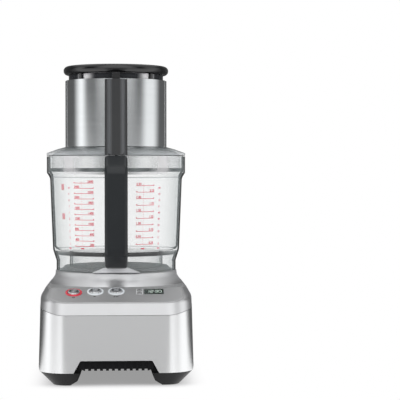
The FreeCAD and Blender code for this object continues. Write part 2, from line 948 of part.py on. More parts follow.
def make_drive_deck():
    """Grey deck that closes the collar under the bowl."""
    hub = d.seal_radius + d.seat_gap
    inside = d.collar_bore - d.seat_gap
    under = d.deck_high - d.deck_wall
    ledge = d.collar_high
    deck = turned("drive_deck", [
        (hub, d.deck_high), (d.deck_top, d.deck_high, 1.5), (d.deck_edge, ledge + 1.4, 0.6),
        (d.deck_edge, ledge), (inside, ledge), (inside, ledge - d.deck_lip),
        (inside - d.deck_wall, ledge - d.deck_lip), (inside - d.deck_wall, under),
        (hub + d.deck_wall, under), (hub + d.deck_wall, under - d.seal_high),
        (hub, under - d.seal_high)])
    return keep(deck)


def make_shaft_seal():
    top = d.deck_high - d.running_gap
    low = d.deck_high - d.deck_wall - d.seal_high
    return keep(turned("shaft_seal", [
        (d.seal_bore, low), (d.seal_radius, low), (d.seal_radius, top),
        (d.seal_radius - 3, top), (d.seal_bore, top - 2)]))


# ---- control panel ----

def on_slope(label):
    body = new_body(label)
    body.setExpression("Placement", panel_frame())
    return body


def make_button_rings():
    for name, (x, y) in button_spots().items():
        body = on_slope(name + "_ring")
        sketch = new_sketch(body, "XY_Plane")
        add_circles(sketch, [(x, y, d.ring_radius), (x, y, d.ring_bore)])
        solid = pad(body, sketch, d.ring_high)
        top = d.ring_high
        outer = edges_where(solid, lambda p, e: abs(p.z - top.number) < 0.01)
        dress(body, "Fillet", solid, outer, d.ring_edge)
        keep(body)


def panel_button(label, spot, travel, cap):
    """A cap that stands over the panel with its stem down to the circuit board."""
    body = on_slope(label)
    x, y = spot
    low = d.board_depth - d.switch_high - travel - d.running_gap
    solid = cap(body, x, y)
    stem = add_circles(new_sketch(body, "XY_Plane", -d.panel_thick), [(x, y, d.stem_radius)])
    pad(body, stem, low - d.panel_thick, flip=True)
    return keep(body)


def make_round_buttons():
    def cap(body, x, y):
        top = d.button_high
        sketch = new_sketch(body, "XY_Plane", top)
        add_circles(sketch, [(x, y, d.button_radius)])
        solid = pad(body, sketch, top + d.panel_thick, flip=True)
        rim = edges_where(solid, lambda p, e: abs(p.z - top.number) < 0.01)
        return dress(body, "Fillet", solid, rim, d.button_edge)

    for name, spot in button_spots().items():
        panel_button(name + "_button", spot, d.button_travel, cap)


def make_timer_keys():
    def cap(body, x, y):
        top = d.key_high
        sketch = new_sketch(body, "XY_Plane", top)
        add_loop(sketch, box_corners(x, y, d.key_wide, d.key_long, d.key_corner))
        solid = pad(body, sketch, top + d.panel_thick, flip=True)
        rim = edges_where(solid, lambda p, e: abs(p.z - top.number) < 0.01)
        return dress(body, "Fillet", solid, rim, d.key_high * 0.4)

    for name, spot in key_spots().items():
        panel_button("timer_%s_key" % name, spot, d.key_travel, cap)


def make_display():
    x, y = display_spot()
    window = on_slope("display_window")
    sketch = new_sketch(window, "XY_Plane", d.display_proud)
    corners = box_corners(x, y, d.display_wide, d.display_long, d.display_corner)
    pad(window, add_loop(sketch, corners), d.display_thick, flip=True)
    keep(window)
    module = on_slope("display_module")
    top = d.display_proud - d.display_thick - d.seat_gap
    sketch = new_sketch(module, "XY_Plane", top)
    add_loop(sketch, box_corners(x, y, d.display_wide - 1, d.display_long - 1))
    pad(module, sketch, d.board_depth + top, flip=True)
    keep(module)


def make_control_board():
    board = on_slope("control_board")
    sketch = new_sketch(board, "XY_Plane", -d.board_depth)
    middle = -d.board_down
    add_loop(sketch, box_corners(0, middle, d.board_half * 2, d.board_long, 2))
    pad(board, sketch, d.board_thick, flip=True)
    keep(board)
    switches = on_slope("tact_switches")
    sketch = new_sketch(switches, "XY_Plane", -d.board_depth)
    side = d.switch_half * 2
    for x, y in button_spots().values():
        add_loop(sketch, box_corners(x, y, side, side))
    for x, y in key_spots().values():
        add_loop(sketch, box_corners(x, y, side, side))
    pad(switches, sketch, d.switch_high)
    keep(switches)
    posts = on_slope("board_standoffs")
    sketch = new_sketch(posts, "XY_Plane", -d.board_depth)
    reach = d.board_long * 0.5 - d.standoff_radius
    spots = [(d.standoff_x * i, middle + reach * j) for i in (-1, 1) for j in (-1, 1)]
    add_circles(sketch, [(x, y, d.standoff_radius) for x, y in spots])
    pad(posts, sketch, d.board_depth - d.panel_thick - d.cover_wall - d.seat_gap)
    keep(posts)


# ---- motor ----

def ring(label, low, high, outer, bore):
    """A plain turned ring between two radii."""
    return turned(label, [(bore, low), (outer, low), (outer, low + high), (bore, low + high)])


def four_round(radius):
    """Four places on the diagonals at a distance from the axis."""
    side = radius * math.sqrt(0.5)
    return [(side * i, side * j) for i in (-1, 1) for j in (-1, 1)]


def make_stator():
    core = ring("stator_core", d.stator_low, d.stator_high, d.stator_radius, d.stator_bore)
    holes = new_sketch(core, "XY_Plane", d.stator_low + d.stator_high + d.cut_clear)
    gap = d.bolt_radius + d.seat_gap
    pocket(core, add_circles(holes, [(x, y, gap) for x, y in four_round(d.bolt_place)]))
    keep(core)
    body = new_body("stator_windings")
    for low in (d.stator_low - d.winding_high, d.stator_low + d.stator_high):
        high = low + d.winding_high
        sketch = new_sketch(body, "XZ_Plane")
        add_loop(sketch, [(d.winding_bore, low, 3), (d.winding_radius, low, 3),
                          (d.winding_radius, high, 3), (d.winding_bore, high, 3)])
        revolve(body, sketch)
    keep(body)


def make_brackets():
    """End plates that carry the bearings and hold the stator between them."""
    for label, low, side in (("lower_bracket", d.bracket_low, 1),
                             ("upper_bracket", d.bracket_top, -1)):
        body = ring(label, low, d.bracket_thick, d.bracket_radius,
                    d.bearing_radius + d.seat_gap)
        reach = d.bearing_radius + d.bearing_wall
        start = low + d.bracket_thick if side > 0 else low
        sketch = new_sketch(body, "XY_Plane", start)
        add_circles(sketch, [(0, 0, reach), (0, 0, d.bearing_radius + d.seat_gap)])
        pad(body, sketch, d.bearing_high - d.bracket_thick, flip=side < 0)
        gap = d.bolt_radius + d.seat_gap
        holes = new_sketch(body, "XY_Plane", low + d.bracket_thick + 1)
        spots = four_round(d.bolt_place)
        pocket(body, add_circles(holes, [(x, y, gap) for x, y in spots]))
        keep(body)
    keep(ring("lower_bearing", d.bracket_low, d.bearing_high, d.bearing_radius,
              d.shaft_radius + d.bearing_gap))
    low = d.bracket_top + d.bracket_thick - d.bearing_high
    keep(ring("upper_bearing", low, d.bearing_high, d.bearing_radius,
              d.shaft_radius + d.bearing_gap))


def make_stator_bolts():
    """Through bolts with spacer tubes' length taken by the end plates."""
    body = new_body("stator_bolts")
    low = d.bracket_low + d.bracket_thick
    spots = four_round(d.bolt_place)
    shank = new_sketch(body, "XY_Plane", d.bracket_low)
    add_circles(shank, [(x, y, d.bolt_radius) for x, y in spots])
    pad(body, shank, d.bracket_top + d.bracket_thick - d.bracket_low + d.bolt_radius)
    head = new_sketch(body, "XY_Plane", d.bracket_top + d.bracket_thick)
    add_circles(head, [(x, y, d.bolt_radius * 1.8) for x, y in spots])
    pad(body, head, d.bolt_radius)
    for start, length in ((low, d.stator_low - low),
                          (d.stator_low + d.stator_high,
                           d.bracket_top - d.stator_low - d.stator_high)):
        spacer = new_sketch(body, "XY_Plane", start)
        add_circles(spacer, [(x, y, d.bolt_radius * 1.6) for x, y in spots])
        pad(body, spacer, length)
    return keep(body)


def make_motor_mounts():
    body = new_body("motor_mounts")
    sketch = new_sketch(body, "XY_Plane", d.floor_high)
    spots = four_round(d.mount_place)
    add_circles(sketch, [(x, y, d.mount_radius) for x, y in spots])
    pad(body, sketch, d.bracket_low - d.floor_high)
    return keep(body)


def make_rotor():
    """Shaft, squirrel-cage rotor and the fan under it."""
    low = d.fan_low
    shaft = turned("motor_shaft", [
        (0, low), (d.shaft_radius, low, 0.8), (d.shaft_radius, d.coupling_top - 4),
        (0, d.coupling_top - 4)])
    keep(shaft)
    bore = d.shaft_radius + d.thread_gap
    rotor = ring("rotor_core", d.stator_low - 2, d.stator_high + 4,
                 d.stator_bore - d.air_gap, bore)
    keep(rotor)
    fan = ring("cooling_fan", low, d.fan_high, d.fan_hub, bore)
    disc = new_sketch(fan, "XY_Plane", low + d.fan_high - 1.5)
    add_circles(disc, [(0, 0, d.fan_radius), (0, 0, d.fan_hub - 1)])
    pad(fan, disc, 1.5)
    blade = new_sketch(fan, "XY_Plane", low)
    inner = d.fan_hub - d.blade_thick
    outer = d.fan_radius - d.blade_thick
    add_loop(blade, box_corners((inner + outer) * 0.5, 0, outer - inner, d.blade_thick))
    feature = pad(fan, blade, d.fan_high - 1)
    row = fan.newObject("PartDesign::PolarPattern", "fan_row")
    row.Originals = [feature]
    row.Axis = (blade, ["N_Axis"])
    row.Angle = 360
    bind(row, "Occurrences", d.fan_blades)
    fan.Tip = row
    keep(fan)


def make_drive():
    """Splined coupling above the deck and the spindle that stands on it."""
    low = d.deck_high + d.running_gap
    bore = d.shaft_radius + d.thread_gap
    seat = d.coupling_top
    coupling = turned("drive_coupling", [
        (bore, low), (d.coupling_radius, low, 0.8), (d.coupling_radius, seat - 8),
        (d.spindle_bore + 1.4, seat - 6), (d.spindle_bore + 1.4, seat),
        (0, seat), (0, seat - 4 + 0.1), (bore, seat - 4 + 0.1)])
    keep(coupling)
    spindle = turned("spindle", [
        (d.spindle_bore + 1.5, seat - 5), (d.spindle_radius, seat - 5),
        (d.spindle_radius, d.spindle_top, 3), (0, d.spindle_top), (0, seat + 0.1),
        (d.spindle_bore + 1.5, seat + 0.1)])
    flats = new_sketch(spindle, "XY_Plane", d.spindle_top + 1)
    wide = d.spindle_radius * 3
    for side in (-1, 1):
        middle = (d.spindle_flat + wide * 0.5) * side
        add_loop(flats, box_corners(middle, 0, wide, wide))
    pocket(spindle, flats, d.spindle_top - d.tube_top + d.flat_below)
    keep(spindle)


# ---- other pieces inside the base ----

def make_capacitor():
    body = new_body("run_capacitor")
    sketch = new_sketch(body, "XZ_Plane", -d.capacitor_y)
    high = d.floor_high + d.capacitor_radius - d.capacitor_sink
    add_circles(sketch, [(-d.capacitor_x, high, d.capacitor_radius)])
    solid = pad(body, sketch, d.capacitor_long, middle=True)
    dress(body, "Fillet", solid, edges_where(solid, lambda p, e: e.Closed), 2)
    keep(body)


def make_cord_inlet():
    """Gland through the rear wall; the lead is not part of the model."""
    body = new_body("cord_inlet")
    x = d.inlet_x
    z = d.inlet_high
    lean = tangent(d.flare_angle)
    face = d.back + (d.seam - z) * lean + d.inlet_proud
    seat = d.back - d.shell_wall - d.seat_gap + (d.seam - z - d.inlet_flange) * lean
    sketch = new_sketch(body, "XZ_Plane", -face)
    add_circles(sketch, [(x, z, d.inlet_radius), (x, z, d.inlet_bore)])
    pad(body, sketch, face - seat + d.inlet_nut)
    nut = new_sketch(body, "XZ_Plane", -seat)
    add_circles(nut, [(x, z, d.inlet_flange), (x, z, d.inlet_bore)])
    pad(body, nut, d.inlet_nut)
    keep(body)


def make_interlock_switch():
    """Reed switch on the inside of the collar, facing the magnet in the handle."""
    body = new_body("interlock_switch")
    sketch = new_sketch(body, "XY_Plane", d.collar_high - d.deck_lip - d.reed_high
                        - d.running_gap)
    wide = d.reed_wide
    reach = root(d.collar_bore * d.collar_bore - wide * wide * 0.25) - d.seat_gap
    add_loop(sketch, box_corners(0, d.reed_thick * 0.5 - reach, wide, d.reed_thick))
    pad(body, sketch, d.reed_high)
    keep(body)


def make_chassis_posts():
    """Posts that tie the tray to the cover, and the screws that hold them."""
    posts = new_body("chassis_posts")
    spots = post_spots()
    low = d.skid_floor
    sketch = new_sketch(posts, "XY_Plane", low)
    add_circles(sketch, [(x, y, d.post_radius) for x, y in spots])
    pad(posts, sketch, d.post_top - low)
    hole = new_sketch(posts, "XY_Plane", low)
    bore = d.screw_radius + d.thread_gap
    add_circles(hole, [(x, y, bore) for x, y in spots])
    pocket(posts, hole, d.screw_grip, flip=True)
    keep(posts)
    screws = new_body("base_screws")
    head = new_sketch(screws, "XY_Plane", screw_seat() - d.seat_gap)
    add_circles(head, [(x, y, d.screw_head) for x, y in spots])
    pad(screws, head, d.screw_head_high, flip=True)
    shank = new_sketch(screws, "XY_Plane", screw_seat() - d.seat_gap)
    add_circles(shank, [(x, y, d.screw_radius) for x, y in spots])
    pad(screws, shank, low - screw_seat() + d.screw_grip)
    keep(screws)


# ---- bowl ----

def bowl_outside(gap):
    """Outer half section of the bowl from rim to foot, grown by a gap."""
    return [(d.rim_radius + gap, d.rim_top, 0.8), (d.rim_radius + gap, d.rim_low, 3),
            (d.bowl_neck_radius + gap, d.bowl_neck, 10),
            (d.bowl_low_radius + gap, d.bowl_bottom, 10),
            (d.skirt_radius + gap, d.skirt_top, 6), (d.skirt_radius + gap, d.bowl_foot)]


def make_bowl():
    """Clear bowl: rim, tapering wall, floor, skirt, lock ring and centre tube."""
    wall = d.bowl_wall
    under = d.bowl_bottom - d.bowl_floor
    tube = d.tube_bore + wall
    inside = d.skirt_radius - wall
    step = wall * 0.9
    bowl = turned("bowl", bowl_outside(0) + [
        (inside, d.bowl_foot), (inside, d.skirt_top + 1, 4), (d.bowl_low_radius - 3.4, under),
        (d.lock_ring, under), (d.lock_ring, d.lock_ring_low),
        (d.lock_ring - wall, d.lock_ring_low), (d.lock_ring - wall, under),
        (tube, under), (tube, d.skirt_top), (d.tube_bore, d.skirt_top),
        (d.tube_bore, d.tube_top), (tube, d.tube_top), (tube, d.bowl_bottom, 3),
        (d.bowl_low_radius - wall, d.bowl_bottom, d.bowl_fillet),
        (d.bowl_neck_radius - wall, d.bowl_neck + step, 10),
        (d.rim_radius - wall, d.rim_low + step, 3), (d.rim_radius - wall, d.rim_top, 0.8)])
    return keep(bowl)


def bowl_envelope(label, gap):
    """Solid of the bowl's outside, which the handle is cut to."""
    return turned(label, [(0, d.rim_top + 20), (d.rim_radius + gap, d.rim_top + 20)]
                  + bowl_outside(gap)[1:-1]
                  + [(d.skirt_radius + gap, d.bowl_foot - 20), (0, d.bowl_foot - 20)])


def slanted(thing, along=0):
    """Set a round piece on the line from the handle's foot to its top, moved along it."""
    rise = d.rod_top_z - d.rod_low_z
    run = d.rod_top_y - d.rod_low_y
    y = -d.rod_low_y - run / rod_length() * along
    z = d.rod_low_z + rise / rod_length() * along
    turn = "rotationx(atan((%s) / (%s)))" % (text_of(run), text_of(rise))
    thing.setExpression("Placement", "placement(%s; %s)" % (vector_text(0, y, z), turn))


def rod_length():
    rise = d.rod_top_z - d.rod_low_z
    run = d.rod_top_y - d.rod_low_y
    return root(rise * rise + run * run)


def make_bowl_handle():
    """Loop handle fixed along the bowl, with a finger gap and a channel for the rod."""
    body = new_body("bowl_handle_block")
    side = new_sketch(body, "YZ_Plane")
    bend = d.handle_round * 2
    add_loop(side, [(-d.skirt_radius + 4, d.handle_low), (-d.handle_end, d.handle_low, bend),
                    (-d.handle_front, d.handle_heel, bend),
                    (-d.handle_front, d.handle_shoulder, bend),
                    (-d.handle_root, d.handle_top, 6), (-d.skirt_radius + 4, d.handle_top)])
    solid = pad(body, side, d.handle_wide, middle=True)
    gap = new_sketch(body, "YZ_Plane")
    add_loop(gap, [(-d.web_low, d.finger_low, 5), (-d.grip_back, d.finger_low + 8, 9),
                   (-d.grip_back, d.finger_top - 10, 9), (-d.web_top, d.finger_top, 5)])
    opened = pocket(body, gap, middle=True)
    half = number_of(d.handle_wide) * 0.5

    def long_edge(point, edge):
        return abs(abs(point.x) - half) < 0.01 and point.y < -number_of(d.web_low) - 2 and (
            point.z < number_of(d.handle_top) - 0.5)

    dress(body, "Fillet", opened, edges_where(opened, long_edge), d.handle_round * 0.7)
    fitted = cut("bowl_handle_fitted", body, bowl_envelope("handle_envelope", d.seat_gap))
    channel = cylinder("handle_channel", d.rod_radius + d.rod_gap, rod_length() + 30)
    slanted(channel, -d.rod_radius)
    return keep(cut("bowl_handle", fitted, channel))


def make_handle_foot():
    """Pale wedge on the skirt under the handle."""
    body = new_body("handle_foot_block")
    sketch = new_sketch(body, "XZ_Plane", d.skirt_radius * 0.5)
    low = d.foot_low_wide * 0.5
    top = d.foot_top_wide * 0.5
    reach = d.handle_low - d.seat_gap
    add_loop(sketch, [(-low, d.foot_base), (low, d.foot_base), (top, reach, 2),
                      (-top, reach, 2)])
    pad(body, sketch, d.foot_out - d.skirt_radius * 0.5)
    keep(cut("handle_foot", body, bowl_envelope("foot_envelope", d.seat_gap)))


def make_handle_rod():
    """Lower interlock rod with the magnet that works the switch in the base."""
    rod = cylinder("handle_rod", d.rod_radius, rod_length() - d.magnet_long)
    slanted(rod, d.magnet_long)
    keep(rod)
    magnet = cylinder("rod_magnet", d.rod_radius, d.magnet_long)
    slanted(magnet)
    keep(magnet)


# ---- lid and chute ----

def make_lid():
    low = d.rim_top + d.lid_gap
    skirt_in = d.seal_lip - d.lid_wall
    hole = d.chute_radius + d.seat_gap
    lid = turned("lid", [
        (hole, d.lid_top), (d.lid_knee, d.lid_knee_high, 20), (d.rim_radius, low + d.lid_edge),
        (d.rim_radius, low), (d.lid_skirt, low), (d.lid_skirt, d.seal_top + d.seat_gap),
        (d.seal_lip, d.seal_top + d.seat_gap), (d.seal_lip, d.seal_low),
        (skirt_in, d.seal_low), (skirt_in, low + 1, 4), (d.lid_knee, d.lid_knee_high - 3),
        (hole, d.lid_top - 3)])
    keep(lid)
    bore = d.seal_lip + d.seat_gap
    lip = d.rim_radius - d.bowl_wall - d.running_gap
    keep(turned("lid_seal", [
        (bore, d.seal_low), (lip, d.seal_low, 1), (lip, d.seal_top, 1), (bore, d.seal_top)]))


def make_feed_chute():
    inner = d.chute_bore
    chute = turned("feed_chute", [
        (inner, d.chute_low), (d.chute_radius, d.chute_low), (d.chute_radius, d.chute_top, 0.8),
        (inner, d.chute_top, 0.8)])
    groove = new_sketch(chute, "YZ_Plane")
    deep = d.chute_radius - d.band_thick - d.seat_gap
    far = d.chute_radius + 2
    add_loop(groove, [(-far, d.band_low - d.seat_gap), (-deep, d.band_low - d.seat_gap),
                      (-deep, d.chute_top + 2), (-far, d.chute_top + 2)])
    revolve(chute, groove, d.band_angle + 0.3, kind="Groove")
    keep(chute)
    skin = d.chute_radius - d.band_thick
    keep(turned("chute_band", [
        (-d.chute_radius, d.band_low), (-skin, d.band_low), (-skin, d.chute_top),
        (-d.chute_radius, d.chute_top)], d.band_angle))


def spine_side(body, front_offset):
    """Side profile of the spine, its front set back by an offset."""
    sketch = new_sketch(body, "YZ_Plane")
    back = d.chute_radius * 0.9
    add_loop(sketch, [
        (-back, d.spine_low), (-d.spine_low_out + front_offset, d.spine_low),
        (-d.spine_mid_out + front_offset, spine_mid(), 120),
        (-d.spine_top_out + front_offset, spine_top()), (-back, spine_top())])
    return sketch


def make_chute_spine():
    """Half-round spine that joins the chute to the handle and covers the upper rod."""
    body = new_body("chute_spine_block")
    crown = pad(body, spine_side(body, 0), d.spine_crown, middle=True)
    half = number_of(d.spine_crown) * 0.5
    shallow = number_of(d.spine_flange)

    def crown_edge(point, edge):
        return abs(abs(point.x) - half) < 0.01 and point.y < -shallow - 1 and (
            edge.Length > 5)

    dress(body, "Fillet", crown, edges_where(crown, crown_edge), d.spine_round)
    pad(body, spine_side(body, d.spine_top_out - d.spine_flange), d.spine_wide, middle=True)
    inside = turned("spine_envelope", [
        (0, d.spine_low - 5), (d.rim_radius + d.seat_gap, d.spine_low - 5),
        (d.rim_radius + d.seat_gap, d.rim_top + d.lid_gap + d.lid_edge),
        (d.lid_knee + d.seat_gap, d.lid_knee_high + d.seat_gap, 20),
        (d.chute_radius + d.seat_gap, d.lid_top + 0.3),
        (d.chute_radius + d.seat_gap, spine_top() + 5), (0, spine_top() + 5)])
    fitted = cut("chute_spine_fitted", body, inside)
    channel = cylinder("spine_channel", d.rod_radius + d.rod_gap, lid_rod_length() + 30)
    lid_slanted(channel, -10)
    bored = cut("chute_spine_bored", fitted, channel)
    mouth = cylinder("spine_mouth", d.rod_mouth, d.rod_mouth_high)
    place(mouth, 0, -d.rod_top_y, d.spine_low - 1)
    keep(cut("chute_spine", bored, mouth))


def lid_rod_low():
    """Foot of the upper rod, just above the top of the lower one."""
    return d.rod_top_z + d.rod_meet


def lid_rod_length():
    rise = lid_rod_high() - lid_rod_low()
    run = d.rod_top_y - d.lid_rod_y
    return root(rise * rise + run * run)


def lid_slanted(thing, back=0):
    """Set a round piece along the upper rod's line, moved along it."""
    rise = lid_rod_high() - lid_rod_low()
    run = d.rod_top_y - d.lid_rod_y
    share = lid_rod_length()
    y = -d.rod_top_y + run / share * back
    z = lid_rod_low() + rise / share * back
    turn = "rotationx(-1 * atan((%s) / (%s)))" % (text_of(run), text_of(rise))
    thing.setExpression("Placement", "placement(%s; %s)" % (vector_text(0, y, z), turn))


def make_lid_rod():
    rod = cylinder("lid_rod", d.rod_radius, lid_rod_length())
    lid_slanted(rod)
    keep(rod)


# ---- pushers ----

def make_pusher():
    wall = d.pusher_wall
    bore = d.insert_radius + d.insert_gap
    tube = bore + wall
    floor = d.pusher_low + d.pusher_floor
    low = cap_low() - d.seat_gap
    keep(turned("pusher_body", [
        (bore - d.insert_lip, d.pusher_low), (d.pusher_radius, d.pusher_low, 2),
        (d.pusher_radius, low), (d.pusher_radius - wall, low),
        (d.pusher_radius - wall, floor), (tube, floor), (tube, low), (bore, low),
        (bore, floor), (bore - d.insert_lip, floor)]))
    top = cap_top() - d.cap_wall
    keep(turned("pusher_cap", [
        (bore, cap_low()), (tube, cap_low()), (tube, top),
        (d.pusher_radius - wall, top), (d.pusher_radius - wall, cap_low()),
        (d.cap_radius, cap_low(), d.cap_round), (d.cap_radius, cap_top(), d.cap_round),
        (bore, cap_top(), 1)]))
    inner = d.insert_radius - d.insert_wall
    low = floor + d.running_gap
    keep(turned("small_pusher", [
        (0, cap_top() - d.cap_wall), (inner, cap_top() - d.cap_wall), (inner, low),
        (d.insert_radius, low), (d.insert_radius, cap_top(), 1.5), (0, cap_top())]))


def make_pusher_stops():
    """Four black blocks under the cap, which rest on the top of the chute."""
    body = new_body("pusher_stops_block")
    low = d.chute_top + d.running_gap
    high = cap_low() - d.seat_gap - low
    for angle in (d.stop_angle, 180 - d.stop_angle):
        sketch = new_sketch(body, "XY_Plane", low)
        sketch.setExpression("AttachmentOffset", "placement(%s; rotationz(%s))" % (
            vector_text(0, 0, low), text_of(angle - 90)))
        add_loop(sketch, box_corners(0, 0, d.stop_out * 2, d.stop_wide))
        pad(body, sketch, high)
    inside = cylinder("stops_inside", d.pusher_radius + d.seat_gap, high + 2)
    place(inside, 0, 0, low - 1)
    keep(cut("pusher_stops", body, inside))


def make_pusher_tab():
    """Glossy key at the front of the pusher, which holds the upper rod down."""
    body = new_body("pusher_tab")
    sketch = new_sketch(body, "XY_Plane", tab_low())
    inner = d.chute_radius + d.running_gap
    add_loop(sketch, box_corners(0, -(inner + d.tab_out) * 0.5, d.tab_wide,
                                 d.tab_out - inner, 1.5))
    pad(body, sketch, cap_low() - tab_low() + 0.4)
    keep(body)


def check_document():
    """Stop on any failed object or empty shape before a file is written."""
    doc.recompute()
    for item in doc.Objects:
        if "Invalid" in item.State or "Error" in item.State:
            raise RuntimeError("failed object: %s %s" % (item.Label, item.State))
    for piece in pieces:
        shape = piece.Shape
        if shape.isNull() or not shape.isValid() or not shape.Solids:
            raise RuntimeError("bad shape: " + piece.Label)


def write_steps():
    os.makedirs("parts", exist_ok=True)
    for piece in pieces:
        piece.Shape.exportStep("parts/%s.step" % piece.Label)
        print("%-18s solids %2d  volume %10.0f" % (piece.Label, len(piece.Shape.Solids),
                                                  piece.Shape.Volume))
    print(len(pieces), "pieces")


fill_sheet()
make_base_shell()
make_base_tray()
make_rubber_feet()
make_front_vent()
make_top_shell()
make_drive_deck()
make_shaft_seal()
make_control_panel()
make_button_rings()
make_round_buttons()
make_timer_keys()
make_display()
make_control_board()
make_stator()
make_brackets()
make_stator_bolts()
make_motor_mounts()
make_rotor()
make_drive()
make_capacitor()
make_cord_inlet()
make_interlock_switch()
make_chassis_posts()
make_bowl()
make_bowl_handle()
make_handle_foot()
make_handle_rod()
make_lid()
make_feed_chute()
make_chute_spine()
make_lid_rod()
make_pusher()
make_pusher_stops()
make_pusher_tab()
check_document()
write_steps()
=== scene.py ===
import bpy
import json
import math
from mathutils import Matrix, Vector


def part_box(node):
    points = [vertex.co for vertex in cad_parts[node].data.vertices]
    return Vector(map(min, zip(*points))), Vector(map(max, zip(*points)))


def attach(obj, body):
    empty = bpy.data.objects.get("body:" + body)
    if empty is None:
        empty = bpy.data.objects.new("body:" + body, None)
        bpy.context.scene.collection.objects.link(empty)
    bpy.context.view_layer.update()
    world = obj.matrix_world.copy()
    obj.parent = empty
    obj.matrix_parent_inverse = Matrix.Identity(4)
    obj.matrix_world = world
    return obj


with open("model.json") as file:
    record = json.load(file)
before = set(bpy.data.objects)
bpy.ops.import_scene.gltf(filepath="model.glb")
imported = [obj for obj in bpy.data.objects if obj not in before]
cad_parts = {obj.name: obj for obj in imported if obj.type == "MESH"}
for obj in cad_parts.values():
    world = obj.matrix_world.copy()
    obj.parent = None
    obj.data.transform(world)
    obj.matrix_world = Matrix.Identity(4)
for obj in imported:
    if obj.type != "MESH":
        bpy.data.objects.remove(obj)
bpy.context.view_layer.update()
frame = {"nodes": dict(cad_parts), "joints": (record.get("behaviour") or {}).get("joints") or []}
cad = frame["nodes"]

# what the finishes and the printed marks are measured from
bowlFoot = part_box("bowl")[0].z
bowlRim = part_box("bowl")[1].z
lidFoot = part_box("lid")[0].z
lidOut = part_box("lid")[1].x
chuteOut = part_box("feed_chute")[1].x
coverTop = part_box("top_shell")[1].z


def middle(node):
    low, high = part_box(node)
    return (low + high) / 2


def shade(colour, amount):
    return tuple(min(1.0, part * amount) for part in colour)


class Sock:
    # one output of a shader node, so that shader maths reads as an expression
    def __init__(self, tree, socket):
        self.tree = tree
        self.socket = socket

    def maths(self, operation, *values):
        return self.tree.node("Math", {"operation": operation}, dict(enumerate(values)))

    def __add__(self, other):
        return self.maths("ADD", self, other)

    def __radd__(self, other):
        return self.maths("ADD", other, self)

    def __sub__(self, other):
        return self.maths("SUBTRACT", self, other)

    def __rsub__(self, other):
        return self.maths("SUBTRACT", other, self)

    def __mul__(self, other):
        return self.maths("MULTIPLY", self, other)

    def __rmul__(self, other):
        return self.maths("MULTIPLY", other, self)

    def __truediv__(self, other):
        return self.maths("DIVIDE", self, other)

    def __rtruediv__(self, other):
        return self.maths("DIVIDE", other, self)

    def __pow__(self, other):
        return self.maths("POWER", self, other)

    def __rpow__(self, other):
        return self.maths("POWER", other, self)

    def __gt__(self, other):
        return self.maths("GREATER_THAN", self, other)

    def __lt__(self, other):
        return self.maths("LESS_THAN", self, other)

    def orMore(self, other):
        return self.maths("MAXIMUM", self, other)

    def size(self):
        return self.maths("ABSOLUTE", self)

    def wave(self):
        return self.maths("SINE", self)

    def split(self):
        return [self.tree.node("SeparateXYZ", {}, {0: self}, axis) for axis in "XYZ"]

    def ease(self, start, end, low=0.0, high=1.0):
        # smooth step from low to high while the value goes from start to end
        return self.tree.node("MapRange", {"interpolation_type": "SMOOTHSTEP"},
                              {"Value": self, "From Min": start, "From Max": end,
                               "To Min": low, "To Max": high})


class Tree:
    # a node tree with one method that makes every node
    def __init__(self, owner):
        owner.use_nodes = True
        self.nodes = owner.node_tree.nodes
        self.links = owner.node_tree.links
        self.nodes.clear()

    def node(self, kind, settings, values, output=0):
        made = self.nodes.new("ShaderNode" + kind)
        for name, value in settings.items():
            setattr(made, name, value)
        for key, value in values.items():
            if isinstance(value, Sock):
                self.links.new(value.socket, made.inputs[key])
            else:
                made.inputs[key].default_value = value
        return Sock(self, made.outputs[output]) if made.outputs else made


class Finish(Tree):
    # one material: a Principled shader whose textures stay on the piece as it moves
    def __init__(self, name):
        self.material = bpy.data.materials.new(name)
        super().__init__(self.material)
        self.place = self.node("TexCoord", {}, {}, "Object")

    def noise(self, stretch, detail, rough):
        # stretch is how fine the noise is along x, y and z
        scaled = self.node("VectorMath", {"operation": "MULTIPLY"}, {0: self.place, 1: stretch})
        return self.node("TexNoise", {}, {"Vector": scaled, "Scale": 1.0, "Detail": detail,
                                          "Roughness": rough})

    def even(self, fineness, detail, rough):
        return self.noise((fineness, fineness, fineness), detail, rough)

    def blend(self, factor, low, high):
        return self.node("Mix", {"data_type": "RGBA"},
                         {"Factor": factor, "A": (*low, 1.0), "B": (*high, 1.0)}, 2)

    def blendOver(self, factor, low, high):
        # blend of two colours of which the first is worked out by nodes
        return self.node("Mix", {"data_type": "RGBA"},
                         {"Factor": factor, 6: low, 7: (*high, 1.0)}, 2)

    def bump(self, height, strength, depth):
        return self.node("Bump", {}, {"Height": height, "Strength": strength, "Distance": depth})

    def finish(self, **values):
        named = {name.replace("_", " "): value for name, value in values.items()}
        shader = self.node("BsdfPrincipled", {}, named)
        self.node("OutputMaterial", {}, {"Surface": shader})
        return self.material


# metal finishes
fineRelief = 0.0001       # depth of the finest grain
sideways = 0.25           # a quarter turn: metal is brushed round the piece
steel = {"light": (0.70, 0.705, 0.712), "dark": (0.665, 0.67, 0.677), "roughness": 0.26,
         "brushing": 0.07, "anisotropy": 0.5, "relief": 0.05, "fine": (5.0, 5.0, 6800.0),
         "broad": (3.0, 3.0, 900.0), "share": 0.8, "contrast": (0.3, 0.7)}


def brushedSteel(name):
    # sheet brushed around the base: streaks are long in the plane and fine in height
    paint = Finish(name)
    streaks = paint.noise(steel["fine"], 4.0, 0.6)
    broad = paint.noise(steel["broad"], 3.0, 0.5)
    mixed = streaks * steel["share"] + broad * (1 - steel["share"])
    return paint.finish(
        Base_Color=paint.blend(mixed.ease(*steel["contrast"]), steel["dark"], steel["light"]),
        Metallic=1.0, Roughness=steel["roughness"] + (mixed - 0.5) * steel["brushing"],
        Anisotropic=steel["anisotropy"], Anisotropic_Rotation=sideways,
        Normal=paint.bump(mixed, steel["relief"], fineRelief))


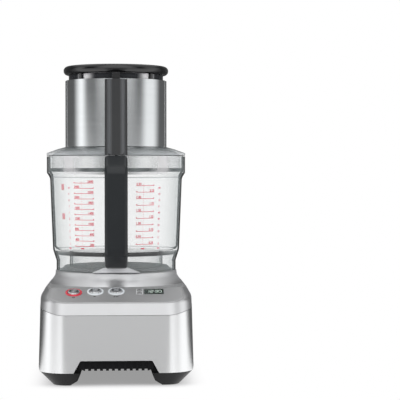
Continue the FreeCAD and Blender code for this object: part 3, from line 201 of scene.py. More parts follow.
cover = {"light": (0.70, 0.705, 0.715), "dark": (0.64, 0.645, 0.655), "roughness": 0.38,
         "collarFrom": 0.0196, "collarTo": 0.0096, "collar": 0.16, "patchy": 0.05, "relief": 0.05,
         "grain": 5200.0, "cloud": 38.0}


def satinCover(name):
    # bead-blasted casting, a little duller on its collar
    paint = Finish(name)
    grain = paint.even(cover["grain"], 2.0, 0.6)
    cloud = paint.even(cover["cloud"], 2.0, 0.5)
    height = paint.place.split()[2]
    collar = height.ease(coverTop - cover["collarFrom"], coverTop - cover["collarTo"],
                         0.0, cover["collar"])
    return paint.finish(
        Base_Color=paint.blend(grain * 0.5 + cloud * 0.5, cover["dark"], cover["light"]),
        Metallic=1.0, Roughness=cover["roughness"] + collar + (cloud - 0.5) * cover["patchy"],
        Normal=paint.bump(grain, cover["relief"], fineRelief))


band = {"colour": (0.64, 0.66, 0.67), "shade": (0.56, 0.58, 0.59), "roughness": 0.15,
        "streak": (14.0, 14.0, 6400.0), "contrast": (0.3, 0.7), "brushing": 0.06,
        "anisotropy": 0.5, "relief": 0.03}


def polishedSteel(name):
    paint = Finish(name)
    streaks = paint.noise(band["streak"], 3.0, 0.5)
    return paint.finish(
        Base_Color=paint.blend(streaks.ease(*band["contrast"]), band["shade"], band["colour"]),
        Metallic=1.0, Roughness=band["roughness"] + (streaks - 0.5) * band["brushing"],
        Anisotropic=band["anisotropy"], Anisotropic_Rotation=sideways,
        Normal=paint.bump(streaks, band["relief"], fineRelief))


# light and dark are the colours of the painted reflection on the button faces
spun = {"light": (0.84, 0.85, 0.86), "dark": (0.16, 0.165, 0.17), "waist": 0.0012,
        "blob": 0.0042, "edgeFrom": 0.0052, "edgeTo": 0.0072, "edge": 0.25, "slope": 1.06,
        "spread": 0.45, "patchy": 0.2, "roughness": 0.26, "brushing": 0.06, "anisotropy": 0.75,
        "relief": 0.05, "grain": 2600.0}


def spunMetal(name, ring):
    # turned button face: fine grain, and a painted reflection: a dark patch left and right of a light
    # middle
    paint = Finish(name)
    grain = paint.even(spun["grain"], 2.0, 0.5)
    x, y, _ = paint.place.split()
    centre = middle(ring)
    across = x - centre.x
    along = (y - centre.y) * spun["slope"]
    out = (across * across + along * along) ** 0.5
    aside = across.size() - along.size() * spun["spread"]
    # painted reflection: dark patches beside the middle, weaker towards the face's edge
    paintedReflection = aside.ease(spun["waist"], spun["blob"])
    paintedReflection = paintedReflection * out.ease(spun["edgeFrom"], spun["edgeTo"], 1.0, spun["edge"])
    return paint.finish(
        Base_Color=paint.blend(paintedReflection + (grain - 0.5) * spun["patchy"], spun["light"], spun["dark"]),
        Metallic=1.0, Roughness=spun["roughness"] + (grain - 0.5) * spun["brushing"],
        Anisotropic=spun["anisotropy"], Anisotropic_Rotation=sideways,
        Normal=paint.bump(grain, spun["relief"], fineRelief))


innerMetal = {"dark": 0.82, "share": 0.6, "cloud": 90.0, "patchy": 0.12, "relief": 0.15,
              "depth": 0.0002}


def plainMetal(name, colour, roughness, grain):
    # turned, cast or pressed metal of the inner pieces
    paint = Finish(name)
    speckle = paint.even(grain, 3.0, 0.6)
    cloud = paint.even(innerMetal["cloud"], 2.0, 0.5)
    mixed = speckle * innerMetal["share"] + cloud * (1 - innerMetal["share"])
    return paint.finish(
        Base_Color=paint.blend(mixed, shade(colour, innerMetal["dark"]), colour),
        Metallic=1.0, Roughness=roughness + (cloud - 0.5) * innerMetal["patchy"],
        Normal=paint.bump(speckle, innerMetal["relief"], innerMetal["depth"]))


core = {"pitch": 0.0005, "dark": (0.16, 0.16, 0.17), "light": (0.30, 0.29, 0.28), "stain": 240.0,
        "metal": 0.9, "roughness": 0.48, "patchy": 0.2, "relief": 0.35}


def laminated(name):
    # stack of pressed sheets, a fine line at each
    paint = Finish(name)
    height = paint.place.split()[2]
    lines = (height * (2 * math.pi / core["pitch"])).wave()
    stain = paint.even(core["stain"], 3.0, 0.6)
    return paint.finish(
        Base_Color=paint.blend(stain, core["dark"], core["light"]),
        Metallic=core["metal"], Roughness=core["roughness"] + (stain - 0.5) * core["patchy"],
        Normal=paint.bump(lines, core["relief"], fineRelief))


copper = {"dark": (0.34, 0.10, 0.04), "light": (0.72, 0.30, 0.12), "strand": (900.0, 900.0, 2600.0),
          "contrast": (0.35, 0.65), "metal": 0.85, "roughness": 0.32, "varnish": 0.5, "relief": 0.6,
          "depth": 0.0004}


def windingCopper(name):
    # varnished turns of wire
    paint = Finish(name)
    strands = paint.noise(copper["strand"], 2.0, 0.5)
    return paint.finish(
        Base_Color=paint.blend(strands.ease(*copper["contrast"]), copper["dark"], copper["light"]),
        Metallic=copper["metal"], Roughness=copper["roughness"], Coat_Weight=copper["varnish"],
        Normal=paint.bump(strands, copper["relief"], copper["depth"]))


# finishes of plastic, paint and rubber
mould = {"dark": 0.84, "light": 1.14, "share": 0.4, "cloud": 46.0, "patchy": 0.08, "grainy": 0.06,
         "coatRoughness": 0.08, "depth": 0.0002}


def moulded(name, colour, roughness, grain=2400.0, relief=0.12, coat=0.0, gloss=0.3):
    # spark-eroded grain with a slightly cloudy gloss
    paint = Finish(name)
    speckle = paint.even(grain, 2.0, 0.5)
    cloud = paint.even(mould["cloud"], 3.0, 0.5)
    mixed = speckle * mould["share"] + cloud * (1 - mould["share"])
    uneven = (cloud - 0.5) * mould["patchy"] + (speckle - 0.5) * mould["grainy"]
    return paint.finish(
        Base_Color=paint.blend(mixed, shade(colour, mould["dark"]), shade(colour, mould["light"])),
        Roughness=roughness + uneven, Specular_IOR_Level=gloss,
        Coat_Weight=coat, Coat_Roughness=mould["coatRoughness"],
        Normal=paint.bump(speckle, relief, mould["depth"]))


# painted highlight: edge is the colour of the lighter strips, core of the middle and the far edges
spine = {"core": (0.014, 0.015, 0.016), "edge": (0.10, 0.105, 0.11), "from": 0.0045, "to": 0.0095,
         "endFrom": 0.0122, "endTo": 0.0134, "roughness": 0.28, "grain": 2100.0, "patchy": 0.08,
         "grainy": 0.05, "gloss": 0.3, "relief": 0.05, "depth": 0.0002}


def paintedHighlightSpine(name):
    # smoky plastic with painted highlights: lighter strips near its long edges stand in for the gloss
    # on its rounded crown
    paint = Finish(name)
    across = paint.place.split()[0].size()
    # painted highlight: the colour lightens away from the middle and darkens again at the far edges
    light = across.ease(spine["from"], spine["to"])
    light = light * across.ease(spine["endFrom"], spine["endTo"], 1.0, 0.0)
    speckle = paint.even(spine["grain"], 2.0, 0.5)
    uneven = (speckle - 0.5) * spine["patchy"]
    return paint.finish(
        Base_Color=paint.blend(light + uneven, spine["core"], spine["edge"]),
        Roughness=spine["roughness"] + speckle * spine["grainy"],
        Specular_IOR_Level=spine["gloss"],
        Normal=paint.bump(speckle, spine["relief"], spine["depth"]))


panel = {"colour": (0.41, 0.412, 0.418), "dark": (0.37, 0.372, 0.376), "flake": 6500.0,
         "cloud": 30.0, "share": 0.6, "metal": 0.35, "roughness": 0.40, "patchy": 0.05,
         "relief": 0.04}


def panelGrey(name):
    # metallic grey paint on the control panel and its keys
    paint = Finish(name)
    flake = paint.even(panel["flake"], 1.0, 0.5)
    cloud = paint.even(panel["cloud"], 2.0, 0.5)
    return paint.finish(
        Base_Color=paint.blend(flake * panel["share"] + cloud * (1 - panel["share"]),
                               panel["dark"], panel["colour"]),
        Metallic=panel["metal"], Roughness=panel["roughness"] + (cloud - 0.5) * panel["patchy"],
        Normal=paint.bump(flake, panel["relief"], fineRelief))


clear = {"hazeStart": 0.20, "hazeEnd": 0.80, "edgeStart": 0.745, "edgeEnd": 0.80,
         "levelFrom": 0.92, "levelTo": 0.995, "level": 0.08, "underLid": 0.0039, "overRim": 0.001,
         "roughness": 0.05, "wispRough": 0.03, "wispThick": 0.03, "index": 1.49,
         "shadeFrom": 0.014, "shadeTo": 0.045, "shade": 0.30, "shineFrom": 0.10,
         "shineFull": 0.24, "shineEase": 0.30, "shineTo": 0.44, "shine": 0.22, "relief": 0.03,
         "depth": 0.001, "wisps": (60.0, 60.0, 18.0), "glint": (1.0, 1.0, 1.0)}

# painted shade along the moulded edges of the bowl: from and to above its foot, and how dark in front
# and behind
bowlEdgeShade = [(0.0230, 0.0292, 1.0, 0.0), (0.0275, 0.0288, 0.0, 0.45), (-0.0020, 0.0014, 0.9, 0.1),
             (0.1332, 0.1349, 0.40, 0.0)]
bowlSides = {"from": 0.055, "to": 0.090, "least": 0.6, "inside": 0.0860}


def paintedEdgeShade(x, y, z, edges):
    # painted shade: dark lines along the bowl's moulded edges, stronger in front, fading towards the
    # sides
    front = y < 0.0
    mask = 0.0
    for low, high, near, behind in edges:
        within = (z > bowlFoot + low) * (z < bowlFoot + high)
        mask = mask + within * (front * (near - behind) + behind)
    mask = mask * ((x * x + y * y) ** 0.5 > bowlSides["inside"])
    return mask * x.size().ease(bowlSides["from"], bowlSides["to"], 1.0, bowlSides["least"])


def clearPlastic(name, body, haze, edge, thin, thick, most=0.9, edges=(), gloss=0.5):
    # polished clear wall: see-through when faced, hazier to the sides, a dark line at its rim
    paint = Finish(name)
    facing = paint.node("LayerWeight", {}, {"Blend": 0.5}, "Facing")
    level = paint.node("NewGeometry", {}, {}, "Normal").split()[2]
    upright = level.size().ease(clear["levelFrom"], clear["levelTo"], 1.0, clear["level"])
    aside = facing.ease(clear["hazeStart"], clear["hazeEnd"]) * upright
    rim = facing.ease(clear["edgeStart"], clear["edgeEnd"]) * upright
    wisps = paint.noise(clear["wisps"], 2.0, 0.5)
    x, y, z = paint.place.split()
    shaded = x.size().ease(clear["shadeFrom"], clear["shadeTo"], clear["shade"], 0.0)
    inLid = z > lidFoot - clear["underLid"]
    shaded = shaded * inLid * (y < 0.0) * (z < bowlRim + clear["overRim"])
    alpha = thin + aside * (thick - thin) + rim * (most - thick) + (wisps - 0.5) * clear["wispThick"]
    shine = facing.ease(clear["shineFrom"], clear["shineFull"])
    shine = shine * facing.ease(clear["shineEase"], clear["shineTo"], 1.0, 0.0) * inLid
    alpha = alpha + shaded + shine * clear["shine"]
    dark = rim.orMore(shaded * 2)
    if edges:
        # painted shade along the bowl's moulded edges
        lines = paintedEdgeShade(x, y, z, edges)
        alpha = alpha + lines * (most - alpha)
        dark = dark.orMore(lines)
    colour = paint.blendOver(shine, paint.blend(aside, body, haze), clear["glint"])
    return paint.finish(
        Base_Color=paint.blendOver(dark, colour, edge), Alpha=alpha,
        Roughness=clear["roughness"] + wisps * clear["wispRough"],
        Specular_IOR_Level=gloss, IOR=clear["index"],
        Normal=paint.bump(wisps, clear["relief"], clear["depth"]))


# dome and line are heights above the bowl's rim, neck and seam go out from the chute, and
# rim and lineOut go in from the lid's edge
lidTint = {"domeTo": 0.0025, "lineLow": -0.0002, "lineHigh": 0.0016, "neck": 0.0011, "seam": 0.0046,
           "rim": 0.0045, "lineOut": 0.0020, "skirt": 0.07, "inner": 0.78, "outer": 0.42,
           "dark": (0.12, 0.135, 0.14), "light": (0.62, 0.66, 0.67), "ink": (0.03, 0.035, 0.037),
           "rimFrom": 0.80, "rimTo": 0.97, "rimAlpha": 0.35, "lineAlpha": 0.95, "patchy": 0.3,
           "roughness": 0.08, "wisps": 40.0, "wispRough": 0.06, "relief": 0.05, "depth": 0.001}


def lidSilver(name):
    # tinted dome over a clear skirt, with painted shade: the dome is darker and less clear near the
    # chute
    paint = Finish(name)
    x, y, height = paint.place.split()
    out = (x * x + y * y) ** 0.5
    dome = height.ease(bowlRim, bowlRim + lidTint["domeTo"])
    neck = chuteOut + lidTint["neck"]
    spread = out.ease(neck, lidOut - lidTint["rim"])
    facing = paint.node("LayerWeight", {}, {"Blend": 0.5}, "Facing")
    rim = facing.ease(lidTint["rimFrom"], lidTint["rimTo"])
    wisps = paint.even(lidTint["wisps"], 3.0, 0.5)
    line = (height > bowlRim + lidTint["lineLow"]) * (height < bowlRim + lidTint["lineHigh"])
    line = line * (out > lidOut - lidTint["lineOut"])
    line = line.orMore(dome * out.ease(neck, chuteOut + lidTint["seam"], 1.0, 0.0))
    # painted shade: darker near the chute, lighter towards the lid's edge
    domeShade = paint.blend(spread + (wisps - 0.5) * lidTint["patchy"], lidTint["dark"], lidTint["light"])
    solid = spread * (lidTint["outer"] - lidTint["inner"]) + lidTint["inner"]
    alpha = lidTint["skirt"] + dome * (solid - lidTint["skirt"])
    alpha = alpha + rim * lidTint["rimAlpha"] + line * lidTint["lineAlpha"]
    return paint.finish(
        Base_Color=paint.blendOver(line.orMore(rim * (1 - dome)), domeShade, lidTint["ink"]),
        Roughness=lidTint["roughness"] + wisps * lidTint["wispRough"], Alpha=alpha, IOR=clear["index"],
        Normal=paint.bump(wisps, lidTint["relief"], lidTint["depth"]))


glowRingFinish = {"dark": 0.85, "patch": 420.0, "roughness": 0.22, "patchy": 0.05, "coat": 0.6,
           "coatRoughness": 0.1}


def paintedGlowRing(name, colour, glow):
    # translucent ring with a painted glow in place of light from below: no lamp lies behind it
    paint = Finish(name)
    patch = paint.even(glowRingFinish["patch"], 2.0, 0.5)
    mixed = paint.blend(patch, shade(colour, glowRingFinish["dark"]), colour)
    return paint.finish(
        Base_Color=mixed, Emission_Color=mixed, Emission_Strength=glow,
        Roughness=glowRingFinish["roughness"] + patch * glowRingFinish["patchy"],
        Coat_Weight=glowRingFinish["coat"], Coat_Roughness=glowRingFinish["coatRoughness"])


board = {"pitchX": 0.003, "pitchY": 0.004, "mask": (0.015, 0.11, 0.045), "track": (0.05, 0.24, 0.10),
         "contrast": (0.2, 0.5), "roughness": 0.28, "patchy": 0.04, "coat": 0.4, "relief": 0.3}


def boardGreen(name):
    # solder mask with copper tracks under it
    paint = Finish(name)
    x, y, _ = paint.place.split()
    weave = (x * (2 * math.pi / board["pitchX"])).wave() * (y * (2 * math.pi / board["pitchY"])).wave()
    tracks = weave.ease(*board["contrast"])
    return paint.finish(
        Base_Color=paint.blend(tracks, board["mask"], board["track"]),
        Roughness=board["roughness"] + weave * board["patchy"], Coat_Weight=board["coat"],
        Normal=paint.bump(tracks, board["relief"], fineRelief))


inkFilm = {"pale": 1.15, "fleck": 1400.0, "roughness": 0.45, "patchy": 0.1}


def printInk(name, colour, glow=0.0):
    # screen-printed ink, a little uneven
    paint = Finish(name)
    flecks = paint.even(inkFilm["fleck"], 3.0, 0.6)
    return paint.finish(
        Base_Color=paint.blend(flecks, colour, shade(colour, inkFilm["pale"])),
        Roughness=inkFilm["roughness"] + flecks * inkFilm["patchy"],
        Emission_Color=(*colour, 1.0), Emission_Strength=glow)


black = (0.006, 0.0063, 0.007)
finishes = [
    (brushedSteel("sheetSteel"), ["base_shell"]),
    (satinCover("castCover"), ["top_shell"]),
    (polishedSteel("bandSteel"), ["chute_band"]),
    (spunMetal("powerFace", "power_ring"), ["power_button"]),
    (spunMetal("startFace", "start_ring"), ["start_button"]),
    (spunMetal("pulseFace", "pulse_ring"), ["pulse_button"]),
    (panelGrey("deckPaint"), ["control_panel", "timer_up_key", "timer_down_key"]),
    (moulded("skidBlack", black, 0.45, gloss=0.12),
     ["base_tray", "front_vent", "cord_inlet", "interlock_switch", "cooling_fan", "display_module",
      "tact_switches"]),
    (moulded("capBlack", (0.005, 0.0053, 0.006), 0.17, 1900.0, 0.03, gloss=0.55),
     ["pusher_cap", "small_pusher", "pusher_stops", "pusher_tab"]),
    (moulded("gripCharcoal", (0.013, 0.0155, 0.0175), 0.30, 2100.0, 0.06),
     ["bowl_handle", "spindle"]),
    (paintedHighlightSpine("spineCharcoal"), ["chute_spine"]),
    (moulded("footRubber", (0.02, 0.02, 0.021), 0.75, 1500.0, 0.3),
     ["rubber_feet", "motor_mounts", "shaft_seal"]),
    (moulded("sealRubber", (0.022, 0.025, 0.027), 0.4, 1800.0, 0.1), ["lid_seal"]),
    (moulded("deckSatin", (0.22, 0.228, 0.232), 0.34, 2600.0, 0.06, 0.2), ["drive_deck"]),
    (moulded("wedgeGrey", (0.80, 0.82, 0.83), 0.28, 2600.0, 0.04, 0.3), ["handle_foot"]),
    # painted glow on the button rings
    (paintedGlowRing("redRing", (0.62, 0.02, 0.045), 0.25), ["power_ring"]),
    (paintedGlowRing("whiteRing", (0.80, 0.84, 0.87), 0.15), ["start_ring", "pulse_ring"]),
    (moulded("windowTint", (0.012, 0.026, 0.018), 0.12, 3000.0, 0.02, 0.8), ["display_window"]),
    (boardGreen("solderMask"), ["control_board"]),
    (laminated("coreStack"), ["stator_core", "rotor_core"]),
    (windingCopper("windingWire"), ["stator_windings"]),
    (plainMetal("turnedSteel", (0.58, 0.58, 0.59), 0.28, 1600.0),
     ["motor_shaft", "drive_coupling", "handle_rod", "rod_magnet", "lid_rod", "base_screws",
      "stator_bolts", "board_standoffs", "chassis_posts", "lower_bearing", "upper_bearing"]),
    (plainMetal("castAlloy", (0.46, 0.46, 0.47), 0.45, 1100.0),
     ["lower_bracket", "upper_bracket", "run_capacitor"]),
    (clearPlastic("bowlClear", (0.78, 0.86, 0.85), (0.60, 0.68, 0.675), (0.012, 0.015, 0.016),
                  0.07, 0.20, 0.97, bowlEdgeShade), ["bowl"]),
    (clearPlastic("chuteClear", (0.60, 0.64, 0.65), (0.40, 0.43, 0.44), (0.06, 0.066, 0.07),
                  0.18, 0.45), ["feed_chute"]),
    (lidSilver("lidTinted"), ["lid"]),
    (clearPlastic("pusherSmoke", (0.045, 0.048, 0.052), (0.03, 0.032, 0.035),
                  (0.015, 0.016, 0.018), 0.88, 0.93, gloss=0.12), ["pusher_body"]),
]
for material, names in finishes:
    for name in names:
        cad[name].data.materials.clear()
        cad[name].data.materials.append(material)
print("finishes on", sum(len(names) for _, names in finishes), "of", len(cad), "nodes")


# printed marks, laid on the surface that they belong to
ink = {"thick": 0.00004, "overBowl": 0.00008, "overPanel": 0.00006, "reach": 0.03}


def letters(text, size, bold):
    # plain figures as a flat mesh, middle at the origin
    curve = bpy.data.curves.new("figures", "FONT")
    curve.body = text
    curve.size = size
    curve.extrude = ink["thick"]
    curve.offset = bold
    curve.align_x = "CENTER"
    curve.align_y = "CENTER"
    holder = bpy.data.objects.new("figures", curve)
    bpy.context.scene.collection.objects.link(holder)
    bpy.context.view_layer.update()
    ready = holder.evaluated_get(bpy.context.evaluated_depsgraph_get())
    mesh = bpy.data.meshes.new_from_object(ready)
    bpy.data.objects.remove(holder)
    points = [tuple(vertex.co) for vertex in mesh.vertices]
    faces = [tuple(face.vertices) for face in mesh.polygons]
    return points, faces


def slab(corners):
    # flat mark with straight sides
    count = len(corners)
    points = [(x, y, z) for z in (-ink["thick"], ink["thick"]) for x, y in corners]
    sides = [(i, (i + 1) % count, (i + 1) % count + count, i + count) for i in range(count)]
    return points, [tuple(range(count))[::-1], tuple(range(count, 2 * count))] + sides


def bar(x, y, wide, high, pieces=1):
    # a straight line of print, cut into short lengths where it follows a curve
    made = []
    for i in range(pieces):
        left = x - wide / 2 + wide * i / pieces
        right = left + wide / pieces
        made.append(slab([(left, y - high / 2), (right, y - high / 2),
                          (right, y + high / 2), (left, y + high / 2)]))
    return made


def hoop(outer, inner, first, last, steps=24):
    # part of a ring, from the first angle to the last
    made = []
    for i in range(steps):
        a, b = (math.radians(first + (last - first) * (i + k) / steps) for k in (0, 1))
        made.append(slab([(r * math.cos(t), r * math.sin(t))
                          for r, t in ((inner, a), (outer, a), (outer, b), (inner, b))]))
    return made


def moved(mark, x, y):
    points, faces = mark
    return [(px + x, py + y, pz) for px, py, pz in points], faces


def layMarks(name, marks, project, material, body):
    # every point of the marks goes to its place on the surface
    points, faces = [], []
    for markPoints, markFaces in marks:
        start = len(points)
        points += [project(*point) for point in markPoints]
        faces += [tuple(start + i for i in face) for face in markFaces]
    mesh = bpy.data.meshes.new(name)
    mesh.from_pydata(points, [], faces)
    mesh.materials.append(material)
    piece = bpy.data.objects.new(name, mesh)
    bpy.context.scene.collection.objects.link(piece)
    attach(piece, body)


def surfaceHit(node, start, direction):
    found, place, _, _ = cad[node].ray_cast(start, direction)
    if not found:
        raise RuntimeError("nothing of " + node + " lies under a printed mark")
    return place


# measuring scales on the outside of the bowl wall: heights are above the bowl's foot
scale = {"top": 0.1265, "bottom": 0.0377, "rightTop": 0.1230, "rightBottom": 0.0405,
         "leftLevels": 13, "rightLevels": 10, "fineLevels": 10, "leftX": -0.0473, "rightX": 0.0420,
         "leftWide": 0.0315, "rightWide": 0.0275, "leftFineX": -0.0730, "rightFineX": 0.0653,
         "noteX": -0.0857, "footer": 0.0342, "fineTop": 0.1192, "figure": 0.0044, "small": 0.0037,
         "line": 0.00065, "bold": 0.00012, "radius": 0.094, "outside": 0.2,
         "run": 0.0024, "lift": 0.0018, "drop": 0.0003, "dot": 0.0014, "dotLift": 0.0004,
         "pieces": 8, "cross": -0.003, "footerWide": 0.0052, "footerHigh": 0.0016,
         "dash": 0.0011, "dashLift": 0.0013, "noteHigh": 0.0085, "notePitch": 0.0021,
         "notes": (0.1205, 0.0790), "fineFooter": (0.0044, 0.0015), "volume": 200, "share": 0.25,
         "fineLeft": 1, "fineRight": 8, "dashes": 3, "ink": (0.66, 0.012, 0.05),
         "paleInk": (0.74, 0.16, 0.22)}


def onBowl(x, y, thick):
    # x is measured round the wall from the front, y is the height above the foot
    angle = x / scale["radius"]
    out = Vector((math.sin(angle), -math.cos(angle), 0))
    place = surfaceHit("bowl", Vector((0, 0, bowlFoot + y)) + out * scale["outside"], -out)
    return place + out * (ink["overBowl"] + thick)


def levelHeights(levels, low, high):
    return [low + (high - low) * i / (levels - 1) for i in range(levels)]


def scaleMarks(x, wide, heights, step, digits):
    # long tick at each level, its figure standing on one end and a dot at the other
    strong = []
    for i, y in enumerate(heights):
        side = 1 if i % 2 == 0 else -1
        text = format(step * (i + 1), "." + str(digits) + "f")
        run = scale["run"] * len(text.replace(".", ""))
        strong.append(moved(letters(text, scale["figure"], scale["bold"]),
                            x + side * (wide - run) / 2, y + scale["lift"]))
        strong += bar(x, y - scale["drop"], wide, scale["line"], scale["pieces"])
        strong += bar(x - side * (wide - scale["dot"]) / 2, y + scale["dotLift"],
                      scale["dot"], scale["dot"])
    return strong + bar(x + scale["cross"], scale["footer"], scale["footerWide"],
                        scale["footerHigh"], pieces=2)


def fineMarks(x, columnX, low, high, step):
    # pale figures of the second unit, and the dotted line that crosses the ticks
    levels = scale["fineLevels"]
    pale = []
    for i, y in enumerate(levelHeights(levels, scale["rightBottom"], scale["fineTop"])):
        pale.append(moved(letters(str(step * (i + 1)), scale["small"], scale["bold"]), columnX, y))
    for y in levelHeights(levels * scale["dashes"], low, high):
        pale += bar(x + scale["cross"], y + scale["dashLift"], scale["line"], scale["dash"])
    return pale + bar(columnX, scale["footer"], *scale["fineFooter"], pieces=2)


def noteMarks(y):
    # plain upright block of three strokes where the scale has a note
    strokes = []
    for i in (-1, 0, 1):
        strokes += bar(scale["noteX"] + i * scale["notePitch"], y, scale["dash"], scale["noteHigh"])
    return strokes


redInk = printInk("scaleInk", scale["ink"])
paleInk = printInk("scaleInkPale", scale["paleInk"])
leftHeights = levelHeights(scale["leftLevels"], scale["bottom"], scale["top"])
rightHeights = levelHeights(scale["rightLevels"], scale["rightBottom"], scale["rightTop"])
leftMarks = scaleMarks(scale["leftX"], scale["leftWide"], leftHeights, scale["volume"], 0)
rightMarks = scaleMarks(scale["rightX"], scale["rightWide"], rightHeights, scale["share"], 2)
for height in scale["notes"]:
    leftMarks += noteMarks(height)
layMarks("scale_left", leftMarks, onBowl, redInk, "bowl")
layMarks("scale_right", rightMarks, onBowl, redInk, "bowl")
layMarks("scale_left_fine", fineMarks(scale["leftX"], scale["leftFineX"], scale["bottom"],
                                      scale["top"], scale["fineLeft"]), onBowl, paleInk, "bowl")
layMarks("scale_right_fine", fineMarks(scale["rightX"], scale["rightFineX"], scale["rightBottom"],
                                       scale["rightTop"], scale["fineRight"]),
         onBowl, paleInk, "bowl")
print("measuring scales printed")

# marks on the sloping panel
press = next(joint for joint in frame["joints"] if joint["name"] == "power_press")
slopeOut = -Vector(press["axis"]).normalized()
slopeRight = Vector((1, 0, 0))
slopeUp = slopeOut.cross(slopeRight)


def onPanel(node, centre):
    def project(x, y, thick):
        over = centre + slopeRight * x + slopeUp * y + slopeOut * ink["reach"]
        return surfaceHit(node, over, -slopeOut) + slopeOut * (ink["overPanel"] + thick)
    return project


signs = {"below": 0.0150, "size": 0.0020, "line": 0.0008, "step": 1.1, "openFrom": 120,
         "openTo": 420, "stemUp": 0.7, "stem": 1.1, "ink": (0.03, 0.03, 0.032)}
darkInk = printInk("panelInk", signs["ink"])


def signMarks(kind):
    # plain signs: on-off ring, run triangle, pulse steps
    size, line = signs["size"], signs["line"]
    if kind == "power":
        ring = hoop(size, size - line, signs["openFrom"], signs["openTo"])
        return ring + bar(0, size * signs["stemUp"], line, size * signs["stem"])
    if kind == "start":
        return [slab([(-size, -size), (size, 0), (-size, size)])]
    pitch = size * signs["step"]
    steps = []
    for i in range(4):
        steps += bar((i - 1.5) * pitch, size if i % 2 else -size, pitch + line, line)
    for i in (-1, 0, 1):
        steps += bar(i * pitch, 0, line, size * 2)
    return steps


for kind in ("power", "start", "pulse"):
    centre = middle(kind + "_ring") - slopeUp * signs["below"]
    layMarks(kind + "_sign", signMarks(kind), onPanel("control_panel", centre), darkInk, "base")

arrow = {"half": 0.0019, "high": 0.0018, "frame": 0.0007, "around": 0.0009, "keyHalf": 0.0030,
         "ink": (0.80, 0.82, 0.84)}
whiteInk = printInk("keyInk", arrow["ink"])


def keyFrame(node):
    # outline printed round the key's opening
    low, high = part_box(node)
    half = (high.x - low.x) / 2 + arrow["around"]
    reach = arrow["keyHalf"] + arrow["around"]
    line = arrow["frame"]
    edge = []
    for side in (-1, 1):
        edge += bar(0, side * reach, 2 * half + line, line)
        edge += bar(side * half, 0, line, 2 * reach)
    return edge


for node, way in (("timer_up_key", 1), ("timer_down_key", -1)):
    half, high = arrow["half"], arrow["high"] * way
    shape = slab([(-half, -high / 2), (half, -high / 2), (0, high / 2)][::way])
    layMarks(node + "_arrow", [shape], onPanel(node, middle(node)), darkInk, node)
    layMarks(node + "_frame", keyFrame(node), onPanel("control_panel", middle(node)), whiteInk,
             "base")

# display figures: seven-segment time
display = {"high": 0.0068, "wide": 0.0036, "line": 0.00075, "gap": 0.00018, "pitch": 0.0053,
           "ink": (0.62, 0.74, 0.66), "shown": "1230", "colon": 0.0006, "dotY": 0.0013,
           "dot": 0.0007, "glow": 0.25}
segmentsOf = {"0": "abcdef", "1": "bc", "2": "abdeg", "3": "abcdg"}


def figureMarks(figure, x):
    w, h, line, gap = display["wide"], display["high"], display["line"], display["gap"]
    places = {"a": (0, h / 2, 1), "g": (0, 0, 1), "d": (0, -h / 2, 1), "b": (w / 2, h / 4, 0),
              "c": (w / 2, -h / 4, 0), "e": (-w / 2, -h / 4, 0), "f": (-w / 2, h / 4, 0)}
    made = []
    for segment in segmentsOf[figure]:
        px, py, level = places[segment]
        run = (w if level else h / 2) / 2 - gap       # half the length of a segment
        half = line / 2
        tip = [(-run, 0), (-run + half, -half), (run - half, -half), (run, 0), (run - half, half),
               (-run + half, half)]
        if not level:
            tip = [(-b, a) for a, b in tip]
        made.append(slab([(x + px + a, py + b) for a, b in tip]))
    return made


segments = []
for place, figure in enumerate(display["shown"]):
    apart = display["colon"] if place > 1 else -display["colon"]
    segments += figureMarks(figure, (place - 1.5) * display["pitch"] + apart)
for side in (1, -1):
    segments += bar(0, side * display["dotY"], display["dot"], display["dot"])
layMarks("display_figures", segments, onPanel("display_window", middle("display_window")),
         printInk("segmentInk", display["ink"], display["glow"]), "base")
print("panel marks laid")


# studio: floor, lamps, camera and what polished surfaces mirror
studio = {"lens": 130.5, "sensor": 36.0, "eye": (0.0, -2.117, 0.3034), "turn": 3.31, "dip": 1.38,
          "fill": 0.52, "floorHalf": 7.0, "floorHigh": -0.0003, "floorDip": -0.1,
          "floorColour": (0.86, 0.84, 0.88, 1), "shadowWide": 0.070, "shadowLong": 0.100,
          "shadowFade": 0.060, "shadow": 0.32, "aim": (0, 0, 0.2), "tiny": 0.000001}
lamps = [
    {"name": "keyBox", "place": (-1.3, -1.7, 1.9), "size": 1.6, "watts": 22.0},
    {"name": "fillBox", "place": (1.7, -1.5, 1.2), "size": 1.6, "watts": 14.0},
    {"name": "topBox", "place": (0.0, 0.3, 2.2), "size": 1.8, "watts": 14.0},
]


# where each box stands, as steps of the mirrored direction: how far ahead, right or up it points
mirror = {"horizon": (-0.08, 0.04), "turn": (-0.1, 0.1), "inner": (0.945, 0.24), "innerRight": 0.17,
          "outer": (-0.16, -0.18), "outerRight": -0.12, "soft": (0.05, 0.20), "fade": (0.14, 0.30),
          "sideTop": (0.75, 0.4), "sideGlow": (1.55, 1.62), "sideRight": 0.37,
          "frontWide": (0.55, 0.88), "frontHigh": (0.05, 0.12), "frontGlow": 1.8,
          "overHigh": (0.45, 0.75), "overGlow": 0.95, "floorEdge": (-0.06, 0.03),
          "back": (-0.60, -0.15), "behind": (0.18, 1.1), "level": (0.62, 0.13)}


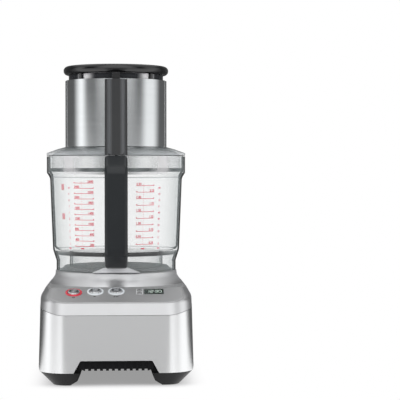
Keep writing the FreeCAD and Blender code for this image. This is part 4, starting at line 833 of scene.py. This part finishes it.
def studioGlow(direction):
    # what polished surfaces mirror: tall side boxes, a box above the front, dark behind
    x, y, z = direction.split()
    flat = (x * x + y * y + studio["tiny"]) ** 0.5
    ahead = (0 - y) / flat
    right = x.ease(*mirror["turn"])
    low, high = mirror["horizon"]
    inner = z.ease(low, high, mirror["inner"][0], right * mirror["innerRight"] + mirror["inner"][1])
    outer = z.ease(low, high, mirror["outer"][0], right * mirror["outerRight"] + mirror["outer"][1])
    soft = z.ease(low, high, *mirror["soft"])
    fade = z.ease(low, high, *mirror["fade"])
    sides = (inner + soft - ahead).ease(0.0, soft * 2) * (ahead - outer).ease(0 - fade, fade)
    dim, bright = mirror["sideGlow"]
    sides = sides * z.ease(*mirror["sideTop"])
    sides = sides * z.ease(low, high, dim, bright - right * mirror["sideRight"])
    above = ahead.ease(*mirror["frontWide"]) * z.ease(*mirror["frontHigh"])
    over = z.ease(*mirror["overHigh"])
    behind = z.ease(*mirror["floorEdge"], *mirror["behind"])
    level = z.ease(*mirror["floorEdge"], *mirror["level"]) * ahead.ease(*mirror["back"], behind, 1.0)
    glow = level.orMore(sides).orMore(above * mirror["frontGlow"])
    return glow.orMore(over * mirror["overGlow"])


def buildWorld():
    world = bpy.data.worlds.new("studioWorld")
    bpy.context.scene.world = world
    tree = Tree(world)
    direction = tree.node("TexCoord", {}, {}, "Generated")
    seen = tree.node("LightPath", {}, {}, "Is Camera Ray").orMore(
        tree.node("LightPath", {}, {}, "Is Transmission Ray"))
    glossy = tree.node("LightPath", {}, {}, "Is Glossy Ray")
    rest = 1 - seen.orMore(glossy)
    strength = seen + glossy * studioGlow(direction) + rest * studio["fill"]
    light = tree.node("Background", {}, {"Color": (1, 1, 1, 1), "Strength": strength})
    tree.node("OutputWorld", {}, {"Surface": light})


def buildFloor():
    half = studio["floorHalf"]
    corners = [(-half, -half), (half, -half), (half, half), (-half, half)]
    mesh = bpy.data.meshes.new("floor")
    mesh.from_pydata([(x, y, studio["floorHigh"]) for x, y in corners], [], [(0, 1, 2, 3)])
    floor = bpy.data.objects.new("floor", mesh)
    bpy.context.scene.collection.objects.link(floor)
    paint = Finish("floorWhite")
    mesh.materials.append(paint.material)
    x, y, _ = paint.place.split()
    flat = (x * x + y * y + studio["tiny"]) ** 0.5
    direction = paint.node("CombineXYZ", {}, {0: x / flat, 1: y / flat, 2: studio["floorDip"]})
    ray = {name: paint.node("LightPath", {}, {}, "Is " + name + " Ray")
           for name in ("Camera", "Glossy", "Transmission")}
    # white to the camera, except under the base, where the floor keeps its shadow
    beside = (x.size() - studio["shadowWide"]).orMore(0)
    before = (y.size() - studio["shadowLong"]).orMore(0)
    away = (beside * beside + before * before) ** 0.5
    clearOf = away.ease(0.0, studio["shadowFade"], studio["shadow"], 1.0)
    glow = ray["Glossy"] * (studioGlow(direction) - 1) + 1
    white = paint.node("Emission", {}, {"Color": (1, 1, 1, 1), "Strength": glow})
    sheet = paint.node("BsdfDiffuse", {}, {"Color": studio["floorColour"]})
    factor = ray["Glossy"].orMore(ray["Camera"].orMore(ray["Transmission"]) * clearOf)
    mixed = paint.node("MixShader", {}, {0: factor, 1: sheet, 2: white})
    paint.node("OutputMaterial", {}, {"Surface": mixed})


def buildLamps():
    for lamp in lamps:
        light = bpy.data.lights.new(lamp["name"], "AREA")
        light.shape = "SQUARE"
        light.size = lamp["size"]
        light.energy = lamp["watts"]
        holder = bpy.data.objects.new(lamp["name"], light)
        bpy.context.scene.collection.objects.link(holder)
        holder.location = lamp["place"]
        aim = Vector(studio["aim"]) - holder.location
        holder.rotation_euler = aim.to_track_quat("-Z", "Y").to_euler()
        holder.visible_glossy = False


def buildCamera():
    camera = bpy.data.cameras.new("camera")
    camera.lens = studio["lens"]
    camera.sensor_width = studio["sensor"]
    holder = bpy.data.objects.new("camera", camera)
    bpy.context.scene.collection.objects.link(holder)
    holder.location = studio["eye"]
    holder.rotation_euler = (math.radians(90 - studio["dip"]), 0, -math.radians(studio["turn"]))
    bpy.context.scene.camera = holder


buildWorld()
buildFloor()
buildLamps()
buildCamera()
bpy.context.scene.view_settings.view_transform = "Standard"
print("studio ready")
